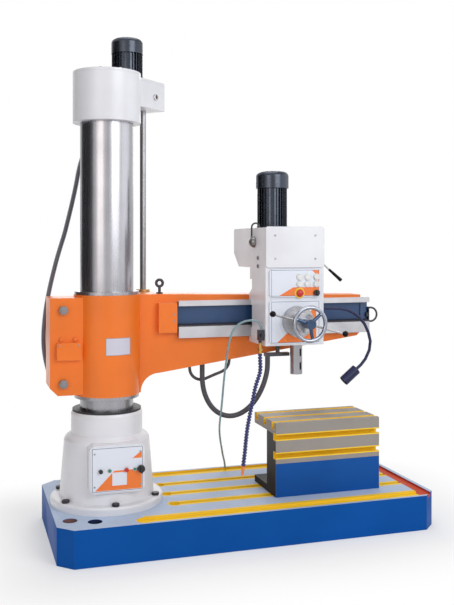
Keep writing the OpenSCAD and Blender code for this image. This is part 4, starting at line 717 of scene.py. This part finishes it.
def on_curve(points, place):
    """A point on the smooth curve through the points; place counts the points passed."""
    i = min(int(place), len(points) - 2)
    t = place - i
    a, b = points[max(i - 1, 0)], points[i]
    c, d = points[i + 1], points[min(i + 2, len(points) - 1)]
    return b + t * ((c - a) + t * ((2 * a - 5 * b + 4 * c - d) + t * (3 * b - a - 3 * c + d))) / 2


def resampled(route, count):
    """count + 1 points on the smooth curve through a route, evenly spaced, in metres."""
    points = [Vector(point) * MM for point in route]
    steps = 20 * len(points)
    fine = [on_curve(points, k * (len(points) - 1) / steps) for k in range(steps + 1)]
    run = [0.0]
    for first, second in zip(fine, fine[1:]):
        run.append(run[-1] + (second - first).length)
    found, at = [], 0
    for k in range(count + 1):
        want = run[-1] * k / count
        while at < len(run) - 2 and run[at + 1] < want:
            at += 1
        share = (want - run[at]) / max(run[at + 1] - run[at], 1e-9)
        found.append(fine[at].lerp(fine[at + 1], min(share, 1.0)))
    return found


def ring_of(bm, centre, radius, side, up, sides):
    """A ring of vertices round a centre, or one vertex where the radius is 0."""
    if radius <= 0.0:
        return [bm.verts.new(centre)]
    turns = [2 * math.pi * k / sides for k in range(sides)]
    return [bm.verts.new(centre + radius * (math.cos(a) * side + math.sin(a) * up)) for a in turns]


def join_rings(bm, first, second):
    """Faces between two rings, or a ring and a point."""
    sides = max(len(first), len(second))
    for k in range(sides if sides > 1 else 0):
        n = (k + 1) % sides
        if len(first) == 1:
            bm.faces.new((first[0], second[k], second[n]))
        elif len(second) == 1:
            bm.faces.new((first[k], first[n], second[0]))
        else:
            bm.faces.new((first[k], first[n], second[n], second[k]))


def sweep(bm, path, radii, sides):
    """A closed tube along a path, carried without twist, with a radius at each point."""
    rings, side = [], None
    for i, (point, radius) in enumerate(zip(path, radii)):
        way = (path[min(i + 1, len(path) - 1)] - path[max(i - 1, 0)]).normalized()
        side = side or way.orthogonal()
        side = (side - side.dot(way) * way).normalized()
        rings.append(ring_of(bm, point, radius, side, way.cross(side), sides))
    for first, second in zip(rings, rings[1:]):
        join_rings(bm, first, second)
    bm.faces.new(rings[0])
    bm.faces.new(rings[-1])


def lathe(bm, profile, origin, axis, sides=32):
    """Turned shape: profile is (along, radius) pairs from origin along axis."""
    way = Vector(axis).normalized()
    side = way.orthogonal().normalized()
    rings = [
        ring_of(bm, Vector(origin) + along * way, radius, side, way.cross(side), sides)
        for along, radius in profile
    ]
    for first, second in zip(rings, rings[1:]):
        join_rings(bm, first, second)


def turned(name, profile, spots, axis, material, body):
    """One piece of the same turned shape at several spots, riding on a body."""

    def build(bm):
        for spot in spots:
            lathe(bm, profile, spot, axis)

    settle(mesh_object(name, build, material), body)


def curved_patch(bm, radii, turns, heights):
    """A thin closed patch on a round wall; each argument is a (low, high) pair, turns in degrees."""
    steps, (start, end) = 16, turns
    angles = [math.radians(start + (end - start) * k / steps) for k in range(steps + 1)]
    rows = [
        [bm.verts.new((radius * math.cos(a), radius * math.sin(a), z)) for a in angles]
        for radius in radii
        for z in heights
    ]
    for first, second in ((0, 1), (3, 2), (2, 0), (1, 3)):
        for k in range(steps):
            bm.faces.new((rows[first][k], rows[first][k + 1], rows[second][k + 1], rows[second][k]))
    for k in (0, steps):
        bm.faces.new((rows[0][k], rows[1][k], rows[3][k], rows[2][k]))


def screw_profile(radius, height):
    """Round socket-head screw seen from outside."""
    return (
        (0.0, radius), (height * 0.75, radius), (height, radius * 0.85), (height, radius * 0.5),
        (height * 0.4, radius * 0.45), (height * 0.4, 0.0),
    )


def lay_cord(
    name, node, route, diameter, material, bodies, ribs=None
):
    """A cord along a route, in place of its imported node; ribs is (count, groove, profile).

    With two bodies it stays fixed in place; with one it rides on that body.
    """
    count, groove, profile = ribs or (6 * len(route), 1.0, (1.0,))
    path = resampled(route, count * len(profile))
    swell = [groove + (1 - groove) * share for share in profile]
    radii = [diameter / 2 * swell[k % len(swell)] for k in range(len(path))]
    piece = mesh_object(name, lambda bm: sweep(bm, path, radii, CORD_SIDES), material, sharp=80.0)
    if len(bodies) == 2:
        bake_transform(piece)
    else:
        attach(piece, bodies[0])
    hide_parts(node)


# Operators


# Lamps: name, place, size, power and colour; all point at the target
LAMP_TARGET = Vector((0.6, 0.0, 1.1))
LAMPS = (
    ("key", (2.6, -4.8, 3.4), 3.4, 134.0, (0.96, 0.98, 1.0)),
    ("fill", (-3.4, -4.6, 2.6), 2.7, 58.0, (1.0, 0.93, 0.87)),
    ("top", (0.6, 0.2, 6.0), 3.6, 80.0, (1.0, 1.0, 1.0)),
    ("back", (1.5, 4.5, 3.6), 3.0, 60.0, (1.0, 1.0, 1.0)),
)


class DRILL_OT_stage(bpy.types.Operator):
    """Camera, lights, a pale floor and two panels for the reflections"""

    bl_idname = "drill.stage"
    bl_label = "Stage"

    def execute(self, context):
        context.scene.view_settings.view_transform = "Standard"
        self.camera(context.scene)
        self.lights(context.scene)
        self.world(context.scene)
        self.floor()
        self.panels()
        return {"FINISHED"}

    def camera(self, scene):
        data = bpy.data.cameras.new("photo_camera")
        data.lens = sizes().lens_mm
        data.sensor_width = 36.0
        data.shift_y = -0.095
        data.clip_end = 100.0
        made = bpy.data.objects.new("photo_camera", data)
        made.location = (-0.801, -4.811, 1.641)
        made.rotation_euler = (math.radians(90.0), 0.0, math.radians(-17.5))
        scene.collection.objects.link(made)
        scene.camera = made

    def lights(self, scene):
        for name, place, size, power, colour in LAMPS:
            data = bpy.data.lights.new(name, "AREA")
            data.size = size
            data.energy = power
            data.color = colour
            made = bpy.data.objects.new(name, data)
            made.location = place
            aim = LAMP_TARGET - Vector(place)
            made.rotation_euler = aim.to_track_quat("-Z", "Y").to_euler()
            scene.collection.objects.link(made)

    def seen(self, tree):
        """Mask of the rays that show the white background."""
        rays = add(tree, "ShaderNodeLightPath").outputs
        return either(tree, rays["Is Camera Ray"], rays["Is Glossy Ray"], rays["Is Transmission Ray"])

    def world(self, scene):
        scene.world = bpy.data.worlds.new("studio")
        scene.world.use_nodes = True
        tree = scene.world.node_tree
        sky = next(n for n in tree.nodes if n.type == "BACKGROUND")
        sky.inputs["Color"].default_value = (1.0, 1.0, 1.0, 1.0)
        tree.links.new(ranged(tree, self.seen(tree), 0.0, 1.0, 0.42, 1.0), sky.inputs["Strength"])

    def floor(self):
        """A pale floor that keeps the shadow near the base and turns white further out."""
        material, tree, shader = new_material("studio_floor")
        patina = effect(tree, "Patina", scale=0.6)
        pale = stained(tree, (0.90, 0.90, 0.91), patina["Blotch"], 0.04)
        fit(tree, shader, {"Base Color": pale, "Roughness": 0.75})
        low, high = (Vector((corner.x, corner.y, 0.0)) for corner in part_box("base_plate"))
        off = vector_node(tree, "SUBTRACT", place_of(tree), (low + high) / 2)
        out = vector_node(tree, "SUBTRACT", vector_node(tree, "ABSOLUTE", off), (high - low) / 2)
        reach = vector_node(tree, "LENGTH", vector_node(tree, "MAXIMUM", out, (0.0, 0.0, 0.0)))
        white = both(tree, self.seen(tree), ranged(tree, reach, 0.0, 0.8, 0.35, 1.0))
        glow = add(tree, "ShaderNodeEmission").outputs["Emission"]
        mixed = add(tree, "ShaderNodeMixShader")
        output = next(n for n in tree.nodes if n.type == "OUTPUT_MATERIAL")
        principled = next(n for n in tree.nodes if n.type == "BSDF_PRINCIPLED")
        feed(tree, mixed.inputs, (white, principled.outputs["BSDF"], glow))
        tree.links.new(mixed.outputs["Shader"], output.inputs["Surface"])

        def build(bm):
            bmesh.ops.create_grid(bm, x_segments=4, y_segments=4, size=14.0)

        mesh_object("studio_floor", build, material)

    def panels(self):
        """A dark panel at the left and a bright one at the right that only reflections see."""
        material, tree, shader = new_material("card_glow")
        fit(tree, shader, {
            "Base Color": (0.0, 0.0, 0.0, 1.0),
            "Emission Color": (0.95, 0.97, 1.0, 1.0),
            "Emission Strength": 1.9,
        })
        cloth = plastic("flag_cloth", (0.03, 0.03, 0.035), 0.8)
        self.panel("reflection_flag", -2.3, (-0.9, 3.4), (0.4, 3.6), cloth)
        self.panel("reflection_card", 3.6, (-2.4, 0.6), (1.3, 3.6), material)

    def panel(self, name, x, across, up, material):
        corners = [(x, across[i], up[j]) for i, j in ((0, 0), (1, 0), (1, 1), (0, 1))]
        made = mesh_object(
            name, lambda bm: bm.faces.new([bm.verts.new(corner) for corner in corners]), material
        )
        made.visible_camera = made.visible_diffuse = False
        made.visible_shadow = made.visible_transmission = False


class DRILL_OT_conduits(bpy.types.Operator):
    """Ribbed column conduit, head conduit and arm conduit"""

    bl_idname = "drill.conduits"
    bl_label = "Conduits"

    def execute(self, context):
        size = sizes()
        rubber = plastic("conduit_rubber", tone("rubber"), 0.42, 0.15, 260.0)
        lay_cord(
            "column_hose", "column_conduit", COLUMN_CONDUIT, size.column_conduit_d,
            plastic("ribbed_conduit", tone("ribbed"), 0.36), ("column", "arm"),
            (size.column_ribs, 0.74, (0.0, 0.5, 1.0, 1.0, 1.0, 0.5)),
        )
        lay_cord(
            "head_loop", "head_conduit", HEAD_CONDUIT, size.head_conduit_d, rubber,
            ("arm", "head"),
        )
        lay_cord(
            "arm_loop", "arm_conduit", ARM_CONDUIT, size.arm_conduit_d, rubber,
            ("arm",),
        )
        return {"FINISHED"}


class DRILL_OT_hoses(bpy.types.Operator):
    """Clear supply hose, segmented coolant hose and motor lead"""

    bl_idname = "drill.hoses"
    bl_label = "Hoses and lead"

    def execute(self, context):
        size = sizes()
        lay_cord(
            "supply_tube", "supply_hose", SUPPLY_HOSE, size.supply_hose_d,
            clear_plastic("clear_hose", tone("clear_hose"), 0.3), ("arm", "head"),
        )
        lay_cord(
            "segment_hose", "coolant_hose", COOLANT_HOSE, size.coolant_hose_d,
            plastic("segmented_hose", tone("coolant"), 0.30), ("head",),
            (size.coolant_ribs, 0.5, (0.0, 0.75, 1.2, 1.3, 1.3, 1.2, 0.75)),
        )
        lay_cord(
            "motor_cable", "motor_lead", MOTOR_LEAD, size.motor_lead_d,
            plastic("lead_rubber", tone("black"), 0.45), ("head",),
        )
        return {"FINISHED"}


class DRILL_OT_base(bpy.types.Operator):
    """Finishes of the base, pedestal, switch box and work table"""

    bl_idname = "drill.base"
    bl_label = "Base, pedestal and table"

    def execute(self, context):
        white = paint("white_paint", tone("white"), RUBBED_WHITE, rough=0.30, wear=0.3)
        dress(white, "pedestal", "switch_box", "top_cap", "cap_lid", "front_cover")
        blue = paint(
            "base_paint", tone("blue"), (0.10, 0.18, 0.38), deck_colours, 0.42, shine=0.10, coat=0.0
        )
        dress(blue, "base_plate")
        iron = paint(
            "table_finish", tone("iron"), (0.42, 0.40, 0.38), table_colours, 0.45, peel=0.3,
            grime=0.45, shine=0.2, coat=0.0,
        )
        dress(iron, "work_table")
        print_face = paint(
            "switch_print", tone("plate"), RUBBED_PRINT, switch_colours, 0.28, 0.1, 0.02, 0.1
        )
        dress(print_face, "switch_plate")
        dark = metal("dark_steel", tone("dark_steel"), 0.35, (60.0, 60.0, 60.0))
        dress(dark, "pedestal_bolts", "table_bolts", "eyebolt", "traverse_rack", "end_bow")
        dress(plastic("seal_rubber", tone("black"), 0.5), "column_seal")
        return {"FINISHED"}


class DRILL_OT_column(bpy.types.Operator):
    """Finishes of the column, its drive and the motors"""

    bl_idname = "drill.column"
    bl_label = "Column, lift drive and motors"

    def execute(self, context):
        ground = metal("ground_column", tone("steel"), 0.19, (70.0, 70.0, 1.0), 0.002)
        dress(ground, "outer_column", "inner_column", "column_bearings", "arm_wipers")
        dress(metal("screw_steel", (0.30, 0.29, 0.30), 0.28, (3.0, 3.0, 520.0), 0.6), "lead_screw")
        gear = metal("gear_steel", (0.5, 0.5, 0.5), 0.25, (200.0, 200.0, 20.0))
        dress(gear, "lift_pinion", "lift_gear")
        dress(metal("nut_bronze", (0.50, 0.33, 0.14), 0.3, (8.0, 8.0, 300.0)), "lift_nut")
        lacquer = metal("motor_lacquer", tone("motor"), 0.16, (30.0, 30.0, 30.0), 0.02)
        dress(lacquer, "lift_motor", "lift_cowl", "head_motor", "head_cowl")
        return {"FINISHED"}


class DRILL_OT_arm(bpy.types.Operator):
    """Finishes of the arm, its guideways and fittings"""

    bl_idname = "drill.arm"
    bl_label = "Arm"

    def execute(self, context):
        orange = paint(
            "orange_paint", tone("orange"), (0.92, 0.40, 0.14), arm_colours, 0.28, 0.35, shine=0.35
        )
        dress(orange, "arm_casting", "junction_box")
        dress(metal("guideway_steel", tone("way"), 0.30, (4.0, 300.0, 300.0), 0.15), "guideways")
        self.stop_plate()
        dress(metal("bolt_steel", (0.26, 0.25, 0.26), 0.30, (90.0, 90.0, 90.0)), "clamp_bolts")
        return {"FINISHED"}

    def stop_plate(self):
        """Dark blue plate that closes the recess at the guideways' far end."""
        low = Vector((1.560, -0.056, 1.1715))
        high = Vector((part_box("guideways")[1].x, -0.0485, 1.2905))
        plate = paint("stop_paint", tone("recess"), (0.10, 0.14, 0.24), wear=0.6)

        def build(bm):
            made = bmesh.ops.create_cube(bm, size=1.0)["verts"]
            for vert in made:
                vert.co = (low + high) / 2 + Vector(a * b for a, b in zip(vert.co, high - low))
            bmesh.ops.bevel(bm, geom=bm.edges[:], offset=1.5 * MM, segments=2, affect="EDGES")

        settle(mesh_object("stop_plate", build, plate), "arm")


class DRILL_OT_head(bpy.types.Operator):
    """Finishes of the head, the spindle, the feed, the coolant fittings and the lamp"""

    bl_idname = "drill.head"
    bl_label = "Head and spindle"

    def execute(self, context):
        white = paint("head_paint", tone("white"), RUBBED_WHITE, head_colours, 0.30, 0.3)
        dress(white, "head_casting")
        print_face = paint(
            "panel_print", tone("plate"), RUBBED_PRINT, panel_colours, 0.26, 0.1, 0.02, 0.1
        )
        dress(print_face, "head_panels")
        ground = metal("spindle_steel", tone("steel"), 0.14, (120.0, 120.0, 3.0), 0.004)
        dress(ground, "spindle", "quill")
        dress(metal("hub_steel", (0.46, 0.46, 0.48), 0.24, (60.0, 600.0, 60.0), 0.1), "feed_hub")
        wheel = metal("wheel_steel", tone("wheel"), 0.16, (40.0, 300.0, 40.0), 0.06, wheel_colours)
        dress(wheel, "handwheel")
        dress(metal("dome_steel", (0.20, 0.195, 0.195), 0.16, (20.0, 20.0, 20.0), 0.03), "cable_dome")
        brass = metal("valve_brass", tone("brass"), 0.28, (40.0, 40.0, 300.0), 0.12, valve_colours)
        dress(brass, "coolant_valve")
        lamp = paint("lamp_paint", tone("lamp"), (0.10, 0.10, 0.16), rough=0.36, shine=0.3, coat=0.0)
        dress(lamp, "lamp_neck", "lamp_head")
        dress(plastic("nozzle_plastic", tone("nozzle"), 0.25), "coolant_nozzle")
        self.lamp_boss(lamp)
        return {"FINISHED"}

    def lamp_boss(self, lamp):
        """Turned boss that holds the lamp's neck to the head's side."""
        spots = [(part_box("head_casting")[1].x, -0.250, 1.275)]
        boss = (
            (0.0, 0.026), (0.008, 0.026), (0.012, 0.022), (0.024, 0.020), (0.032, 0.015),
            (0.036, 0.0095),
        )
        turned("lamp_boss", boss, spots, (1, 0, 0), lamp, "head")


class DRILL_OT_controls(bpy.types.Operator):
    """Finishes of the buttons, switches, knobs and levers"""

    bl_idname = "drill.controls"
    bl_label = "Buttons and levers"

    def execute(self, context):
        black = plastic("black_plastic", tone("black"), 0.32)
        dress(black, "power_on_button", "main_switch", "mode_knob")
        dress(plastic("red_plastic", tone("red"), 0.25), "power_off_button", "emergency_stop")
        dress(plastic("button_white", BUTTON_WHITE, 0.22), *WHITE_BUTTONS)
        for node, name, colour, rough, painter in (
            ("feed_levers", "lever_steel", (0.44, 0.44, 0.46), 0.20, ball_colours),
            ("speed_lever", "shift_steel", (0.40, 0.42, 0.41), 0.26, shift_colours),
        ):
            dress(metal(name, colour, rough, (60.0, 60.0, 60.0), 0.06, painter), node)
        return {"FINISHED"}


class DRILL_OT_screws(bpy.types.Operator):
    """Screws of the covers, plates and lid, and the plugs on the head's side"""

    bl_idname = "drill.screws"
    bl_label = "Screws and plugs"

    def execute(self, context):
        steel = metal("trim_steel", (0.36, 0.36, 0.37), 0.25, (80.0, 80.0, 80.0))
        self.corners("cover_screws", "front_cover", (0.055, 0.050), 6 * MM, steel, "head")
        self.corners("plate_screws", "switch_plate", (0.020, 0.035), 5 * MM, steel, "base")
        box_front, pad_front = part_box("junction_box")[0].y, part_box("guideways")[0].y
        self.pair("box_screws", [(x, box_front, 1.092) for x in (-0.281, -0.175)], steel)
        self.pair("pad_screws", [(0.372, pad_front, z) for z in (1.205, 1.245)], steel)
        self.lid_screws(steel)
        self.plugs()
        return {"FINISHED"}

    def corners(self, name, node, inset, radius, material, body):
        """Four screws near the corners of a front plate."""
        low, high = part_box(node)
        across, up = inset
        spots = [
            (x, low.y, z)
            for x in (low.x + across, high.x - across)
            for z in (low.z + up, high.z - up)
        ]
        screw = screw_profile(radius, 0.6 * radius)
        turned(name, screw, spots, FRONT, material, body)

    def pair(self, name, spots, material):
        """Two small screws on the arm's front."""
        screw = screw_profile(5 * MM, 3 * MM)
        turned(name, screw, spots, FRONT, material, "arm")

    def lid_screws(self, material):
        """Seven screws round the lid, clear of the cap's wing."""
        top, ring, first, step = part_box("cap_lid")[1].z, 0.168, 101.5, 37.0
        turns = [math.radians(first + step * k) for k in range(7)]
        spots = [(ring * math.cos(a), ring * math.sin(a), top) for a in turns]
        screw = screw_profile(9 * MM, 6 * MM)
        turned("lid_screws", screw, spots, UP, material, "column")

    def plugs(self):
        """Two plugs on the head's left side."""
        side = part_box("head_casting")[0].x
        plug = (
            (0.0, 0.012), (0.004, 0.012), (0.006, 0.0095), (0.006, 0.007), (0.0035, 0.006),
            (0.0035, 0.0),
        )
        spots = [(side, -0.213, z) for z in (1.520, 1.567)]
        grey = plastic("plug_grey", (0.20, 0.195, 0.19), 0.4)
        turned("side_plugs", plug, spots, (-1, 0, 0), grey, "head")


class DRILL_OT_glasses(bpy.types.Operator):
    """Pilot lamps, oil sight and lamp lens"""

    bl_idname = "drill.glasses"
    bl_label = "Lamps and oil sight"

    def execute(self, context):
        bright = metal("bezel_chrome", (0.50, 0.50, 0.51), 0.18, (80.0, 80.0, 80.0))
        self.pilot_lamps(bright)
        self.oil_sight(bright)
        self.lamp_lens()
        return {"FINISHED"}

    def pilot_lamps(self, bright):
        front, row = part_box("switch_plate")[0].y, middle("power_on_button").z
        spots = [(x, front, row) for x in (-0.031, 0.106)]
        dome = ((0.0, 0.008), (0.006, 0.008), (0.010, 0.006), (0.0115, 0.0))
        ring = ((0.0, 0.0115), (0.004, 0.0115), (0.005, 0.0105), (0.005, 0.0))
        glass = clear_plastic("pilot_glass", tone("teal"), 0.2)
        turned("pilot_domes", dome, spots, FRONT, glass, "base")
        turned("pilot_rings", ring, spots, FRONT, bright, "base")

    def oil_sight(self, bright):
        """Oil sight on the slanted side of the cap's wing."""
        turn, reach, half_width, height = math.radians(41.5), 0.33, 0.100, 2.52
        along = Vector((math.cos(turn), math.sin(turn), 0.0))
        side = Vector((math.sin(turn), -math.cos(turn), 0.0))
        spots = [along * reach + side * half_width + Vector((0.0, 0.0, height))]
        ring = ((0.0, 0.019), (0.008, 0.019), (0.010, 0.016), (0.010, 0.012), (0.006, 0.012))
        glass = ((0.0, 0.012), (0.006, 0.012), (0.008, 0.008), (0.0085, 0.0))
        turned("sight_ring", ring, spots, side, bright, "column")
        amber = clear_plastic("sight_oil", (0.10, 0.055, 0.02), 0.15)
        turned("sight_glass", glass, spots, side, amber, "column")

    def lamp_lens(self):
        """Lens in the work lamp's mouth."""
        way, root, reach = Vector((-0.778, 0.0, -0.628)), Vector((1.437, -0.250, 0.907)), 0.090
        spots = [root + way * reach]
        lens = ((0.0, 0.0), (0.0, 0.0235), (0.003, 0.0225), (0.006, 0.014), (0.007, 0.0))
        glass = clear_plastic("lens_glass", (0.80, 0.80, 0.76), 0.25)
        turned("lamp_lens", lens, spots, way, glass, "head")


class DRILL_OT_plates(bpy.types.Operator):
    """Bare name plate on the arm and the lines of the feed dial"""

    bl_idname = "drill.plates"
    bl_label = "Name plate and dial lines"

    def execute(self, context):
        self.name_plate()
        self.dial_lines()
        return {"FINISHED"}

    def name_plate(self):
        """Curved plate and its raised border on the arm's sleeve."""
        left, right, low, high = -101.0, -56.0, 1.035, 1.130
        thick, border_wide, border_turn = (0.1862, 0.1874), 3 * MM, 0.9
        face = paint("plate_enamel", (0.60, 0.58, 0.68), RUBBED_PRINT, rough=0.30, peel=0.02)
        rim = metal("plate_rim", (0.40, 0.40, 0.42), 0.3, (4.0, 4.0, 300.0))

        def border(bm):
            for turns, heights in (
                ((left, right), (low, low + border_wide)),
                ((left, right), (high - border_wide, high)),
                ((left, left + border_turn), (low, high)),
                ((right - border_turn, right), (low, high)),
            ):
                curved_patch(bm, (0.1864, 0.1878), turns, heights)

        plate = mesh_object(
            "bare_plate", lambda bm: curved_patch(bm, thick, (left, right), (low, high)), face
        )
        settle(plate, "arm")
        settle(mesh_object("plate_border", border, rim), "arm")

    def dial_lines(self):
        """Lines round the feed dial, every fifth one longer."""
        dial_front, line_end, long_start, short_start = -0.385, 0.086, 0.074, 0.079
        hub = middle("feed_hub")
        hub.y = dial_front
        ink = paint("dial_ink", tone("black"), (0.1, 0.1, 0.1), rough=0.5, wear=0.1)
        count = sizes().dial_lines

        def build(bm):
            for k in range(count):
                turn = 2 * math.pi * k / count
                out = Vector((math.cos(turn), 0.0, math.sin(turn)))
                along = Vector((-math.sin(turn), 0.0, math.cos(turn)))
                start = short_start if k % 5 else long_start
                ends = ((start, -0.5), (line_end, -0.5), (line_end, 0.5), (start, 0.5))
                low = [bm.verts.new(hub + out * reach + along * side * MM) for reach, side in ends]
                high = [bm.verts.new(v.co + Vector((0.0, -0.2 * MM, 0.0))) for v in low]
                bm.faces.new(low)
                bm.faces.new(high)
                join_rings(bm, low, high)

        settle(mesh_object("dial_lines", build, ink), "feed")


class DRILL_OT_grilles(bpy.types.Operator):
    """Fan grilles on the tops of the two motor cowls"""

    bl_idname = "drill.grilles"
    bl_label = "Fan grilles"

    def execute(self, context):
        wire = metal("grille_wire", (0.10, 0.105, 0.115), 0.3, (80.0, 80.0, 80.0))
        self.grille("lift_grille", "lift_cowl", "column", wire)
        self.grille("head_grille", "head_cowl", "head", wire)
        return {"FINISHED"}

    def grille(self, name, cowl, body, material):
        """A round boss and four rings on a cowl's top."""
        low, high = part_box(cowl)
        radius, ring_width = (high.x - low.x) / 2, 2 * MM
        centre = Vector((middle(cowl).x, middle(cowl).y, high.z - MM))
        hub, rim = 0.16 * radius, 0.12 * radius

        def build(bm):
            lathe(bm, ((0.0, hub), (2 * MM, hub), (3 * MM, rim), (3 * MM, 0.0)), centre, UP)
            for inner in (share * radius for share in (0.28, 0.40, 0.52, 0.64)):
                outer = inner + ring_width
                ring = ((0.0, inner), (2 * MM, inner), (2 * MM, outer), (0.0, outer))
                lathe(bm, ring, centre, UP, 48)

        settle(mesh_object(name, build, material), body)


class DRILL_PT_panel(bpy.types.Panel):
    """Lists the steps that dress the drill and its sizes and colours"""

    bl_idname = "DRILL_PT_panel"
    bl_label = "Radial arm drill"
    bl_space_type = "VIEW_3D"
    bl_region_type = "UI"
    bl_category = "Drill"

    def draw(self, context):
        for step in STEPS:
            self.layout.operator(step.bl_idname)
        for group in (context.scene.drill_sizes, context.scene.drill_colours):
            column = self.layout.column(align=True)
            for key in group.__annotations__:
                column.prop(group, key)


STEPS = (
    DRILL_OT_stage,
    DRILL_OT_conduits,
    DRILL_OT_hoses,
    DRILL_OT_base,
    DRILL_OT_column,
    DRILL_OT_arm,
    DRILL_OT_head,
    DRILL_OT_controls,
    DRILL_OT_screws,
    DRILL_OT_glasses,
    DRILL_OT_plates,
    DRILL_OT_grilles,
)
CLASSES = (DrillSizes, DrillColours, *STEPS, DRILL_PT_panel)


def register():
    for item in CLASSES:
        bpy.utils.register_class(item)
    bpy.types.Scene.drill_sizes = bpy.props.PointerProperty(type=DrillSizes)
    bpy.types.Scene.drill_colours = bpy.props.PointerProperty(type=DrillColours)


def unregister():
    del bpy.types.Scene.drill_colours
    del bpy.types.Scene.drill_sizes
    for item in reversed(CLASSES):
        bpy.utils.unregister_class(item)


def main():
    register()
    bpy.ops.drill.stage()
    bpy.ops.drill.conduits()
    bpy.ops.drill.hoses()
    bpy.ops.drill.base()
    bpy.ops.drill.column()
    bpy.ops.drill.arm()
    bpy.ops.drill.head()
    bpy.ops.drill.controls()
    bpy.ops.drill.screws()
    bpy.ops.drill.glasses()
    bpy.ops.drill.plates()
    bpy.ops.drill.grilles()


if __name__ == "__main__":
    main()
